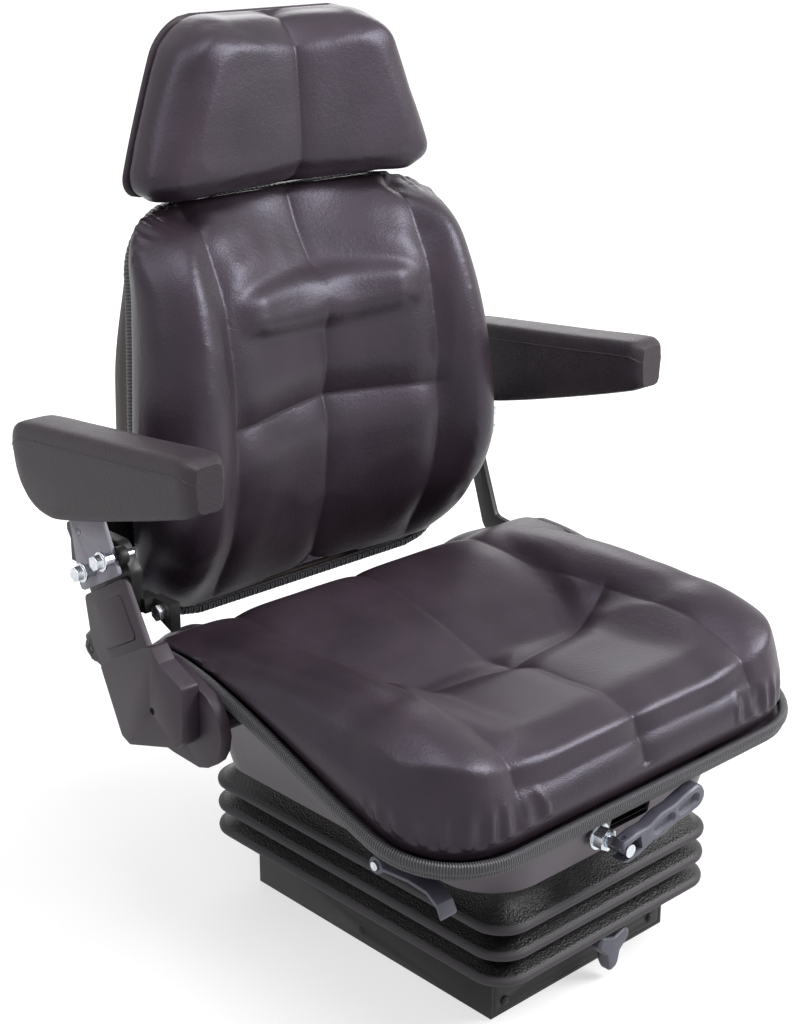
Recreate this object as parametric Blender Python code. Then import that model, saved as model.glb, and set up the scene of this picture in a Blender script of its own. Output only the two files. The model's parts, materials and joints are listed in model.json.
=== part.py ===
# Tractor suspension seat: base box, scissor suspension, seat, reclining back, armrests, headrest
# Metres, +Z up. The seat looks towards -Y. The origin is the middle of the base box's underside.
import math

import bmesh
import bpy
from mathutils import Matrix, Vector

# Clearances
GAP = 0.0003              # between pieces that touch
RUN = 0.0003              # round a shaft in its hole
FOLD_PLAY = 0.0015        # round the open pivot and the rollers, for the scissor's arc

# Suspension: its arms set the length of base box and upper frame
FRAME_HALF_WIDTH = 0.118
ARM_LENGTH = 0.25
ARM_THICKNESS = 0.004
ARM_HALF_HEIGHT = 0.0095
ARM_SIDE_PLAY = 0.002
OUTER_ARM_X = FRAME_HALF_WIDTH - 0.024    # inner face of the outer frame's arms
REAR_PIVOT_Y = 0.46 * ARM_LENGTH
ROLLER_RADIUS = 0.009
ROLLER_WIDTH = 0.0095
TUBE_RADIUS = 0.006
STUB_RADIUS = 0.004
PIVOT_BAR_RADIUS = 0.005
EAR_THICKNESS = 0.005
EAR_HALF_LENGTH = 0.016
LEDGE_LENGTH = 0.075
LEDGE_THICKNESS = 0.0022

# Base box
BASE_HALF_WIDTH = FRAME_HALF_WIDTH - 0.0024
BASE_HALF_LENGTH = REAR_PIVOT_Y + 0.0448
BASE_HEIGHT = 0.046
BASE_SHEET = 0.004
RIVET_SHANK = 0.0024
RIVET_HEAD = 0.0048
RIVET_INSET = 0.0171
RIVET_HEIGHT = 0.012

# Three-lobed knob on the front plate
KNOB_X = 0.012
KNOB_Z = 0.031
KNOB_REACH = 0.0302       # from the front plate to the knob's face
KNOB_STEM = 0.005
KNOB_COLLAR = 0.0078
KNOB_LOBE = 0.0165        # from the middle to a lobe's centre
KNOB_LOBE_RADIUS = 0.0068
KNOB_WAIST = 0.0105

# Upper frame, longer than the base box at both ends
FRAME_FRONT = -BASE_HALF_LENGTH - 0.0052
FRAME_REAR = BASE_HALF_LENGTH + 0.0152
FRAME_SHEET = 0.003
FRAME_UNDERSIDE = 0.1365
FRAME_DEPTH = 0.025

# Bellows
RIB_HALF_WIDTH = FRAME_HALF_WIDTH + 0.0264
RIB_FRONT = FRAME_FRONT - 0.0334
RIB_REAR = FRAME_REAR + 0.0312
RIB_RADIUS = 0.032
RIB_BOTTOM_Z = 0.0586
RIB_PITCH = 0.0251
RIB_COUNT = 3
RIB_LIP = 0.0035
VALLEY_DEPTH = 0.0245
VALLEY_LIFT = 0.0042
BELLOWS_WALL = 0.0025
COLLAR_HEIGHT = 0.0065

# Springs and damper
SPRING_X = 0.045
SPRING_RADIUS = 0.008
SPRING_WIRE = 0.0015
SPRING_TURNS = 8
SPRING_STEPS = 5          # straight pieces per turn
HOOK_RADIUS = 0.01
DAMPER_Y = 0.075
DAMPER_RADIUS = 0.017
DAMPER_TOP = 0.0745
DAMPER_FOOT = 0.004
ROD_RADIUS = 0.005
ROD_INSERTION = 0.004

# Crank
SPINDLE_X = -0.025
SPINDLE_Z = 0.163
SPINDLE_RADIUS = 0.006
SPINDLE_FRONT = -0.2338
SPINDLE_REAR = 0.064
BLOCK_FRONT = 0.022
BLOCK_THICKNESS = 0.008
BLOCK_TRAVEL = 0.0175
BLOCK_HALF_WIDTH = 0.056
HANDLE_LENGTH = 0.102
HANDLE_TILT = 12.0
HANDLE_THICKNESS = 0.014
HANDLE_PIN_RADIUS = 0.0025
NUT_REAR = -0.197
NUT_HALF_WIDTH = 0.0108
WASHER_RADIUS = 0.0125

# Seat rails
RAIL_X = 0.09
RAIL_HALF_WIDTH = 0.018
RAIL_WALL = 0.0025
RAIL_FRONT = -0.035
RAIL_REAR = 0.17
SLIDER_FRONT = -0.165
RAIL_HEIGHT = 0.025
SLIDER_SIDE_PLAY = 0.0015
SLIDER_DEPTH = 0.018

# Seat pan
PAN_HALF_WIDTH = 0.2414
PAN_FRONT = -0.2262
PAN_REAR = 0.2
PAN_FRONT_RADIUS = 0.078
PAN_REAR_RADIUS = 0.062
PAN_FRONT_Z = 0.208
PAN_RISE = 0.087
PAN_REAR_DROP = 0.058
PAN_FLANGE = 0.012
PAN_WALL = 0.0028
SKIRT_HALF_WIDTH = 0.15
SKIRT_FRONT = -0.19
SKIRT_REAR = 0.178
SKIRT_BOTTOM = 0.1405
NECK_HALF_WIDTH = 0.172
NECK_FRONT = -0.197
NECK_REAR = 0.187
NECK_LIFT = 0.012
PAN_FLOOR = 0.178         # underside of the floor, on the sliders
TRIM_WIDTH = 0.008
TRIM_HEIGHT = 0.015
# Section of the edge trims: shares of the width and of the height
TRIM_SECTION = [(0, -0.5), (0.75, -0.5), (1, -0.1), (0.95, 0.35), (0.6, 0.5), (0.1, 0.42)]

# Seat cushion
FOOT_SHARE = 0.62         # size of the cushion's flat underside inside the pan
NECK_SHARE = 0.7
SEAM_X = 0.15
# Height of the cushion's middle and of its side bolsters, from front to rear
SEAT_MIDDLE = [(-0.24, 0.266), (-0.222, 0.280), (-0.19, 0.2835), (-0.149, 0.281), (-0.065, 0.277),
               (0.012, 0.268), (0.094, 0.275), (0.15, 0.274), (0.182, 0.266), (0.2, 0.258)]
SEAT_BOLSTER = [(-0.24, 0.254), (-0.226, 0.274), (-0.205, 0.293), (-0.158, 0.311), (-0.11, 0.3175),
                (-0.05, 0.3205), (0.014, 0.3197), (0.075, 0.3155), (0.137, 0.304), (0.175, 0.289),
                (0.2, 0.274)]
SEAT_STATIONS = [0, 0.008, 0.05, 0.1, 0.142, 0.15, 0.158, 0.185, 0.212]
SEAT_ROWS = [0.003, 0.014, 0.038, 0.07, 0.105, 0.135, 0.147, 0.156, 0.165, 0.174, 0.183, 0.192, 0.21,
             0.245, 0.285, 0.325, 0.355, 0.38, 0.398]
CREASE_Y = -0.066
REAR_LIFT = 0.006          # how far the cushion's rear edge stands above the trim's own height
CREASE_SWEEP = 0.024

# Slide lever under the front left corner
LEVER_X = -0.206
LEVER_PIN_Y = -0.12
LEVER_PIN_Z = 0.1762
LEVER_PIN_RADIUS = 0.004
LEVER_HALF_WIDTH = 0.009
LEVER_THICKNESS = 0.0032
LEVER_HUB_RADIUS = 0.0078
LEVER_PIN_END = 0.13
LEVER_PROFILE = [(-0.12, 0.0), (-0.16, 0.004), (-0.181, 0.0025), (-0.193, -0.005), (-0.198, -0.015)]

# Recline hinge
HINGE_Y = 0.095
HINGE_Z = 0.262
HINGE_PLATE_X = 0.2503    # inner face of the brackets, beside the trim
BRACKET_THICKNESS = 0.0114
COVER_THICKNESS = 0.018
COVER_NECK_THICKNESS = 0.006
HINGE_PIN_RADIUS = 0.008
PLAIN_HINGE_RADIUS = 0.018  # eye of the plain hinge on the right
# Recliner cover on the left, as (y, z, corner radius)
COVER_BODY = [(0.172, 0.281, 0.004), (0.143, 0.2215, 0.005), (0.131, 0.217, 0.004),
              (0.061, 0.239, 0.006), (0.052, 0.247, 0.004), (0.050, 0.298, 0.005),
              (0.082, 0.311, 0.003), (0.093, 0.3235, 0.003), (0.105, 0.3185, 0.002)]
COVER_NECK = [(0.105, 0.296, 0), (0.186, 0.269, 0.004), (0.2015, 0.292, 0.005),
              (0.2085, 0.3335, 0.005), (0.1465, 0.3685, 0.004)]
COVER_PANEL = [(0.13, 0.3155, 0.004), (0.179, 0.289, 0.004), (0.191, 0.329, 0.005),
               (0.152, 0.3515, 0.004)]

# Bolts that hold the armrest plates, and the foot of the recliner's arm, as (y, z)
ARM_BOLTS = {-1: [(0.186, 0.366), (0.155, 0.385)], 1: [(0.2445, 0.3655), (0.2445, 0.3855)]}
ARM_BOLT_RADIUS = 0.004
ARM_SPACER_RADIUS = 0.0062
ARM_WASHER_RADIUS = 0.0092
ARM_HEAD_RADIUS = 0.0072
ARM_BOSS_RADIUS = 0.009
FOOT_BOLT = (0.1265, 0.335)
FOOT_BOLT_RADIUS = 0.003
TAB_FRONT = 0.2385
TAB_REAR = 0.25
TAB_BOTTOM = 0.352
TAB_TOP = 0.39
KNOB_PLACE = (0.212, 0.278)

# Backrest
BACK_BOTTOM = 0.283
BACK_TOP = 0.6575
BACK_WIDE_Z = 0.37
BACK_WIDE = 0.188         # half-width of the shell's rim low down
BACK_NARROW = 0.168       # and near the top
BACK_RADIUS = 0.055
BACK_RIM_Y = 0.222        # rim plane at the bottom edge's height
BACK_TILT = 0.09          # rearward lean, metres per metre of height
BACK_SHELL_FLOOR = 0.012
BACK_OVERHANG = 0.006     # the cushion reaches this far past the shell's rim at top and sides
BACK_FOOT_OVERHANG = 0.001  # and this far at the bottom, for room when it leans back
BACK_BULGE = 0.016        # and this much more at its sides
BACK_TUCK = 0.004         # from the rim to where the cushion enters the shell
BACK_FOOT_WIDTH = 0.8     # size of its flat rear face in there, as shares of the cushion
BACK_FOOT_HEIGHT = 0.872
BACK_SEAM_X = 0.125
# Front of the backrest cushion: (height, depth) of its middle, its seams and its bolsters
BACK_MIDDLE = [(0.268, 0.2205), (0.29, 0.2095), (0.321, 0.197), (0.37, 0.188), (0.418, 0.183),
               (0.469, 0.1825), (0.541, 0.185), (0.5865, 0.197), (0.622, 0.211), (0.665, 0.228)]
BACK_SEAM = [(0.268, 0.2205), (0.285, 0.210), (0.32, 0.188), (0.36, 0.168), (0.40, 0.161),
             (0.48, 0.160), (0.52, 0.163), (0.56, 0.1695), (0.60, 0.177), (0.64, 0.190), (0.665, 0.214)]
BACK_BOLSTER = [(0.268, 0.2215), (0.285, 0.210), (0.32, 0.181), (0.36, 0.153), (0.40, 0.138),
                (0.45, 0.135), (0.52, 0.141), (0.58, 0.155), (0.62, 0.171), (0.645, 0.188),
                (0.665, 0.216)]
BACK_STATIONS = [0, 0.007, 0.045, 0.085, 0.117, 0.125, 0.133, 0.152]
BACK_ROWS = [0.012, 0.035, 0.07, 0.115, 0.16, 0.186, 0.194, 0.202, 0.22, 0.25, 0.272, 0.2795, 0.2865,
             0.298, 0.306, 0.314, 0.34, 0.362, 0.376]
WING_Z = 0.568
WING_HALF_LENGTH = 0.105
WING_HALF_HEIGHT = 0.015
BACK_CREASE_Z = 0.472

# Armrests
ARM_PIVOT_Y = 0.24
ARM_PIVOT_Z = 0.44
ARM_PLATE_X = 0.2682
ARM_PLATE_THICKNESS = 0.004
ARM_PIN_RADIUS = 0.005
PAD_INNER_X = 0.2518
PAD_OUTER_X = 0.294
PAD_FRONT = 0.01
PAD_REAR = 0.279
# Height of the pad's top and underside from front to rear
PAD_TOP = [(0.01, 0.5085), (0.022, 0.5105), (0.1, 0.5035), (0.195, 0.4955), (0.262, 0.489),
           (0.279, 0.482)]
PAD_BOTTOM = [(0.01, 0.465), (0.022, 0.4595), (0.1, 0.437), (0.195, 0.4125), (0.225, 0.4085),
              (0.255, 0.418), (0.279, 0.448)]

# Headrest
HEAD_HEIGHT = 0.159
HEAD_BOTTOM = BACK_TOP + 0.0115
HEAD_TOP = HEAD_BOTTOM + HEAD_HEIGHT
HEAD_BOTTOM_WIDE = 0.179
HEAD_TOP_WIDE = 0.117
HEAD_RIM_Y = 0.252
HEAD_FRONT_Y = 0.214
HEAD_SHELL_DEPTH = 0.038
POST_X = 0.06
POST_RADIUS = 0.006
POST_DEPTH = 0.105

# Derived heights and places
LOWER_PIVOT_Z = BASE_SHEET + FOLD_PLAY + ROLLER_RADIUS
UPPER_PIVOT_Z = FRAME_UNDERSIDE - FOLD_PLAY - ROLLER_RADIUS - 0.0015
ARM_ANGLE = math.asin((UPPER_PIVOT_Z - LOWER_PIVOT_Z) / ARM_LENGTH)
FRONT_PIVOT_Y = REAR_PIVOT_Y - ARM_LENGTH * math.cos(ARM_ANGLE)
CROSS_Y = (REAR_PIVOT_Y + FRONT_PIVOT_Y) / 2
CROSS_Z = (LOWER_PIVOT_Z + UPPER_PIVOT_Z) / 2
INNER_ARM_X = OUTER_ARM_X - ARM_SIDE_PLAY - ARM_THICKNESS
ROLLER_X = OUTER_ARM_X + ARM_THICKNESS + ARM_SIDE_PLAY
FRAME_TOP = FRAME_UNDERSIDE + FRAME_SHEET
RAIL_BOTTOM = FRAME_TOP + GAP
RAIL_TOP = RAIL_BOTTOM + RAIL_HEIGHT
PAN_FLOOR_TOP = PAN_FLOOR + PAN_WALL
COVER_X = HINGE_PLATE_X + BRACKET_THICKNESS + GAP
HANDLE_PIVOT = (SPINDLE_X, SPINDLE_FRONT + 0.0075, SPINDLE_Z)

PAINT_BLACK = ((0.035, 0.034, 0.034), 0.42, 0.0)
PAINT_GREY = ((0.36, 0.37, 0.42), 0.38, 0.0)
PLASTIC = ((0.045, 0.043, 0.043), 0.5, 0.0)
PLASTIC_GREY = ((0.17, 0.175, 0.2), 0.45, 0.0)
VINYL = ((0.028, 0.027, 0.028), 0.38, 0.0)
RUBBER = ((0.03, 0.03, 0.032), 0.75, 0.0)
FOAM_SKIN = ((0.05, 0.048, 0.05), 0.7, 0.0)
ZINC = ((0.72, 0.74, 0.76), 0.25, 1.0)
STEEL = ((0.5, 0.5, 0.52), 0.35, 1.0)


def smoothstep(t):
    t = max(0.0, min(1.0, t))
    return t * t * (3 - 2 * t)


def smooth_curve(points, x):
    """Height at x on a smooth curve through (x, height) points."""
    for i in range(len(points) - 1):
        (x0, h0), (x1, h1) = points[i], points[i + 1]
        if x <= x1 or i == len(points) - 2:
            before = points[max(i - 1, 0)]
            after = points[min(i + 2, len(points) - 1)]
            slope0 = (h1 - before[1]) / max(x1 - before[0], 1e-9)
            slope1 = (after[1] - h0) / max(after[0] - x0, 1e-9)
            t = max(0.0, min(1.0, (x - x0) / (x1 - x0)))
            span = x1 - x0
            return (h0 * (1 + 2 * t) * (1 - t) ** 2 + slope0 * span * t * (1 - t) ** 2
                    + h1 * t * t * (3 - 2 * t) + slope1 * span * t * t * (t - 1))


def clear_scene():
    for old in list(bpy.data.objects):
        bpy.data.objects.remove(old, do_unlink=True)


def finish_material(name, look):
    colour, roughness, metallic = look
    material = bpy.data.materials.new(name)
    material.use_nodes = True
    shader = material.node_tree.nodes["Principled BSDF"]
    shader.inputs["Base Color"].default_value = (*colour, 1)
    shader.inputs["Roughness"].default_value = roughness
    shader.inputs["Metallic"].default_value = metallic
    return material


def add_part(name, shape, look, origin=(0, 0, 0), sharp=35):
    """Turn a bmesh into a named object whose origin lies at the given point."""
    bmesh.ops.recalc_face_normals(shape, faces=shape.faces)
    bmesh.ops.translate(shape, verts=shape.verts, vec=-Vector(origin))
    mesh = bpy.data.meshes.new(name)
    shape.to_mesh(mesh)
    shape.free()
    mesh.shade_smooth()
    mesh.set_sharp_from_angle(angle=math.radians(sharp))
    part = bpy.data.objects.new(name, mesh)
    part.location = origin
    part.data.materials.append(finish_material(name, look))
    bpy.context.scene.collection.objects.link(part)
    return part


def combine(shape, tool, operation):
    """Boolean of two bmeshes with the exact solver. Both are used up."""
    holders = []
    for source in (shape, tool):
        bmesh.ops.recalc_face_normals(source, faces=source.faces)
        mesh = bpy.data.meshes.new("work")
        source.to_mesh(mesh)
        source.free()
        holder = bpy.data.objects.new("work", mesh)
        bpy.context.scene.collection.objects.link(holder)
        holders.append(holder)
    modifier = holders[0].modifiers.new("combine", "BOOLEAN")
    modifier.operation = operation
    modifier.solver = "EXACT"
    modifier.object = holders[1]
    evaluated = holders[0].evaluated_get(bpy.context.evaluated_depsgraph_get())
    result = bmesh.new()
    result.from_mesh(evaluated.to_mesh())
    for holder in holders:
        bpy.data.objects.remove(holder, do_unlink=True)
    bmesh.ops.remove_doubles(result, verts=result.verts, dist=1e-6)
    return result


def cut(shape, *tools):
    for tool in tools:
        shape = combine(shape, tool, "DIFFERENCE")
    return shape


def fuse(shape, *others):
    for other in others:
        shape = combine(shape, other, "UNION")
    return shape


def box(x0, x1, y0, y1, z0, z1):
    shape = bmesh.new()
    bmesh.ops.create_cube(shape, size=1)
    size = Vector((x1 - x0, y1 - y0, z1 - z0))
    middle = Vector(((x0 + x1) / 2, (y0 + y1) / 2, (z0 + z1) / 2))
    bmesh.ops.transform(shape, matrix=Matrix.Translation(middle) @ Matrix.Diagonal((*size, 1)),
                        verts=shape.verts)
    return shape


def rod(start, end, radius, sides=14, end_radius=None):
    start, end = Vector(start), Vector(end)
    shape = bmesh.new()
    bmesh.ops.create_cone(shape, cap_ends=True, segments=sides, radius1=radius,
                          radius2=radius if end_radius is None else end_radius,
                          depth=(end - start).length)
    turn = (end - start).to_track_quat("Z", "Y").to_matrix().to_4x4()
    bmesh.ops.transform(shape, matrix=Matrix.Translation((start + end) / 2) @ turn, verts=shape.verts)
    return shape


def loft(rings, closed=False):
    """Skin a list of rings of equal count. Open lofts get a flat cap at each end."""
    shape = bmesh.new()
    loops = [[shape.verts.new(point) for point in ring] for ring in rings]
    count = len(rings[0])
    pairs = list(zip(loops, loops[1:]))
    if closed:
        pairs.append((loops[-1], loops[0]))
    for low, high in pairs:
        for i in range(count):
            j = (i + 1) % count
            shape.faces.new((low[i], low[j], high[j], high[i]))
    if not closed:
        shape.faces.new(loops[0][::-1])
        shape.faces.new(loops[-1])
    return shape


def prism_x(outline, x0, x1):
    """Side outline of (y, z) points, thickened from x0 to x1."""
    return loft([[(x, y, z) for y, z in outline] for x in (x0, x1)])


def arc(centre, radius, start, end, steps):
    """Points of an arc, in degrees, as pairs."""
    points = []
    for i in range(steps + 1):
        angle = math.radians(start + (end - start) * i / steps)
        points.append((centre[0] + radius * math.cos(angle), centre[1] + radius * math.sin(angle)))
    return points


def round_corners(corners, steps=2):
    """Round the corners of an outline given as (a, b, radius)."""
    points = []
    count = len(corners)
    for i, (a, b, radius) in enumerate(corners):
        here = Vector((a, b))
        before = Vector(corners[i - 1][:2]) - here
        after = Vector(corners[(i + 1) % count][:2]) - here
        if radius <= 0:
            points.append((a, b))
            continue
        half = before.angle(after) / 2
        reach = radius / math.tan(half)
        middle = here + (before.normalized() + after.normalized()).normalized() * radius / math.sin(half)
        first = here + before.normalized() * reach - middle
        last = here + after.normalized() * reach - middle
        turn = first.angle_signed(last)
        start = math.atan2(first.y, first.x)
        for k in range(steps + 1):
            angle = start - turn * k / steps
            points.append((middle.x + radius * math.cos(angle), middle.y + radius * math.sin(angle)))
    return points


def round_rectangle(half_width, front, rear, front_radius, rear_radius, corner_steps=5, side_steps=5):
    """Counter-clockwise (x, y) points of a rectangle with round corners."""
    corners = ((half_width - front_radius, front + front_radius, front_radius, -90),
               (half_width - rear_radius, rear - rear_radius, rear_radius, 0),
               (rear_radius - half_width, rear - rear_radius, rear_radius, 90),
               (front_radius - half_width, front + front_radius, front_radius, 180))
    arcs = [arc((x, y), radius, angle, angle + 90, corner_steps) for x, y, radius, angle in corners]
    points = []
    for i, corner in enumerate(arcs):
        points += corner
        (x0, y0), (x1, y1) = corner[-1], arcs[(i + 1) % 4][0]
        for k in range(1, side_steps):
            points.append((x0 + (x1 - x0) * k / side_steps, y0 + (y1 - y0) * k / side_steps))
    return points


def grid_edge(grid):
    """Points round the edge of a grid of rows, in order."""
    first, last = grid[0], grid[-1]
    right = [row[-1] for row in grid[1:-1]]
    left = [row[0] for row in grid[1:-1]]
    return list(first) + right + list(last[::-1]) + left[::-1]


def pad_shape(grid, rings):
    """A closed pad: its face is a grid, its sides are rings round that grid, the last ring is capped."""
    shape = bmesh.new()
    rows = [[shape.verts.new(point) for point in row] for row in grid]
    for low, high in zip(rows, rows[1:]):
        for i in range(len(low) - 1):
            shape.faces.new((low[i], low[i + 1], high[i + 1], high[i]))
    edge = grid_edge(rows)
    loops = [edge] + [[shape.verts.new(point) for point in ring] for ring in rings]
    count = len(edge)
    for low, high in zip(loops, loops[1:]):
        for i in range(count):
            j = (i + 1) % count
            shape.faces.new((low[j], low[i], high[i], high[j]))
    shape.faces.new(loops[-1])
    return shape


def outline_rows(half_width_at, places, stations):
    """Plan points of a pad, row by row. Rows reach from edge to edge, with fixed stations between."""
    grid = []
    for along in places:
        half = half_width_at(along)
        share = min(1.0, 0.9 * half / stations[-1]) if stations[-1] else 1.0
        right = [x * share for x in stations] + [half]
        grid.append([(-x, along) for x in right[:0:-1]] + [(x, along) for x in right])
    return grid


def grown(edge, distance):
    """Move a closed outline outwards by a distance."""
    points = []
    count = len(edge)
    for i in range(count):
        before, after = Vector(edge[i - 1]), Vector(edge[(i + 1) % count])
        along = (after - before).normalized()
        points.append((edge[i][0] + along.y * distance, edge[i][1] - along.x * distance))
    return points


def both_sides(build):
    """Run a builder for the left (-1) and the right (+1) side."""
    for side, word in ((-1, "left"), (1, "right")):
        build(side, word)


def mirrored(shape, side):
    """Put a shape made for the right side onto the side asked for."""
    if side < 0:
        bmesh.ops.scale(shape, vec=(-1, 1, 1), verts=shape.verts)
        bmesh.ops.reverse_faces(shape, faces=shape.faces)
    return shape


def groove(distance, width):
    """Depth factor of a sewn groove at a distance from its line."""
    return math.exp(-(distance / width) ** 2)


def pivot_ear(outline, pivot_z, hole_radius, side):
    """Upright ear beside an arm, with the hole of its pivot."""
    ear = prism_x(outline, ROLLER_X, ROLLER_X + EAR_THICKNESS)
    hole = rod((ROLLER_X - 0.001, REAR_PIVOT_Y, pivot_z),
               (ROLLER_X + EAR_THICKNESS + 0.001, REAR_PIVOT_Y, pivot_z), hole_radius)
    return mirrored(cut(ear, hole), side)


# Base box with its let-in front plate
def build_base():
    width, length, wall = BASE_HALF_WIDTH, BASE_HALF_LENGTH, BASE_SHEET
    inside = width - wall
    section = [(-width, 0), (width, 0), (width, BASE_HEIGHT), (inside, BASE_HEIGHT), (inside, wall),
               (-inside, wall), (-inside, BASE_HEIGHT), (-width, BASE_HEIGHT)]
    tray = loft([[(x, y, z) for x, z in section] for y in (-length, length)])
    join = wall / 4
    additions = [box(-inside - join, inside + join, length - wall, length - join, wall - join,
                     BASE_HEIGHT - join)]
    ledge_z = BASE_SHEET + 2 * FOLD_PLAY + 2 * ROLLER_RADIUS
    front = FRONT_PIVOT_Y - LEDGE_LENGTH / 2
    for side in (-1, 1):
        ledge = mirrored(box(ROLLER_X, inside + join, front, front + LEDGE_LENGTH, ledge_z,
                             ledge_z + LEDGE_THICKNESS), side)
        ear_outline = ([(REAR_PIVOT_Y - EAR_HALF_LENGTH, wall - join)]
                       + [(REAR_PIVOT_Y + EAR_HALF_LENGTH, wall - join)]
                       + arc((REAR_PIVOT_Y, LOWER_PIVOT_Z), EAR_HALF_LENGTH, 0, 180, 6))
        ear = pivot_ear(ear_outline, LOWER_PIVOT_Z, TUBE_RADIUS + RUN, side)
        tab_y = wall + GAP - length
        tab_inner = inside - 2 * RIVET_INSET
        tab = mirrored(box(tab_inner, inside + join, tab_y, tab_y + wall, wall - join,
                           2 * RIVET_HEIGHT), side)
        additions += [ledge, ear, tab]
    tray = fuse(tray, *additions)
    rivet_x = BASE_HALF_WIDTH - RIVET_INSET
    for side in (-1, 1):
        hole = rod((side * rivet_x, -length, RIVET_HEIGHT),
                   (side * rivet_x, -length + 3 * wall, RIVET_HEIGHT), RIVET_SHANK + RUN, 8)
        tray = cut(tray, hole)
        head = rod((side * (width - 0.001), 0.0098, RIVET_HEIGHT),
                   (side * (width + 0.0016), 0.0098, RIVET_HEIGHT), RIVET_HEAD, 12, 0.0035)
        tray = fuse(tray, head)
    add_part("base_tray", tray, PAINT_BLACK)

    plate = box(-inside + GAP, inside - GAP, -length, wall - length, wall + GAP, BASE_HEIGHT)
    for side in (-1, 1):
        plate = cut(plate, rod((side * rivet_x, -length - 0.01, RIVET_HEIGHT),
                               (side * rivet_x, -length + 0.01, RIVET_HEIGHT), RIVET_SHANK + RUN, 8))
    plate = cut(plate, rod((KNOB_X, -length - 0.01, KNOB_Z), (KNOB_X, -length + 0.01, KNOB_Z),
                           KNOB_STEM + RUN, 10))
    add_part("base_front_plate", plate, PAINT_BLACK)
    for side, word in ((-1, "left"), (1, "right")):
        start = (side * rivet_x, -length - GAP, RIVET_HEIGHT)
        head = rod(start, (side * rivet_x, -length - GAP - 0.002, RIVET_HEIGHT), RIVET_HEAD, 12, 0.003)
        shank = rod((side * rivet_x, -length - 0.001, RIVET_HEIGHT),
                    (side * rivet_x, -length + 2 * wall, RIVET_HEIGHT), RIVET_SHANK, 8)
        add_part("rivet_front_" + word, fuse(head, shank), PAINT_BLACK)


# Three-lobed knob on the front plate
def lobed_outline(lobes, reach, lobe_radius, waist, turn, steps=5):
    """Outline of a knob with round lobes and hollow flanks between them."""
    points = []
    for k in range(lobes):
        middle = turn + 360 * k / lobes
        centre = (reach * math.cos(math.radians(middle)), reach * math.sin(math.radians(middle)))
        points += arc(centre, lobe_radius, middle - 75, middle + 75, steps)
        between = math.radians(middle + 180 / lobes)
        points.append((waist * math.cos(between), waist * math.sin(between)))
    return points


def build_height_knob():
    outline = lobed_outline(3, KNOB_LOBE, KNOB_LOBE_RADIUS, KNOB_WAIST, 28, 4)
    rings = []
    front_y = -BASE_HALF_LENGTH - KNOB_REACH
    for y, scale in ((front_y + 0.014, 0.82), (front_y + 0.010, 1.0), (front_y + 0.002, 1.0),
                     (front_y, 0.86)):
        rings.append([(KNOB_X + x * scale, y, KNOB_Z + z * scale) for x, z in outline])
    head = loft(rings)
    stem_end = -BASE_HALF_LENGTH + 2 * BASE_SHEET
    collar = rod((KNOB_X, front_y + 0.013, KNOB_Z), (KNOB_X, -BASE_HALF_LENGTH - GAP, KNOB_Z),
                 KNOB_COLLAR, 14)
    stem = rod((KNOB_X, front_y + 0.012, KNOB_Z), (KNOB_X, stem_end, KNOB_Z), KNOB_STEM, 10)
    add_part("height_knob", fuse(head, collar, stem), PLASTIC_GREY,
             (KNOB_X, -BASE_HALF_LENGTH, KNOB_Z))


# Crossing frames of the suspension
def scissor_arm(x0, x1, start, end, cross_hole):
    """One flat arm with round ends from start to end, both (y, z), with a hole in the middle."""
    along = Vector(end) - Vector(start)
    angle = math.degrees(math.atan2(along.y, along.x))
    outline = arc(start, ARM_HALF_HEIGHT, angle + 90, angle + 270, 5)
    outline += arc(end, ARM_HALF_HEIGHT, angle - 90, angle + 90, 5)
    arm = prism_x(outline, x0, x1)
    return cut(arm, rod((x0 - 0.01, CROSS_Y, CROSS_Z), (x1 + 0.01, CROSS_Y, CROSS_Z), cross_hole, 10))


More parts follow.
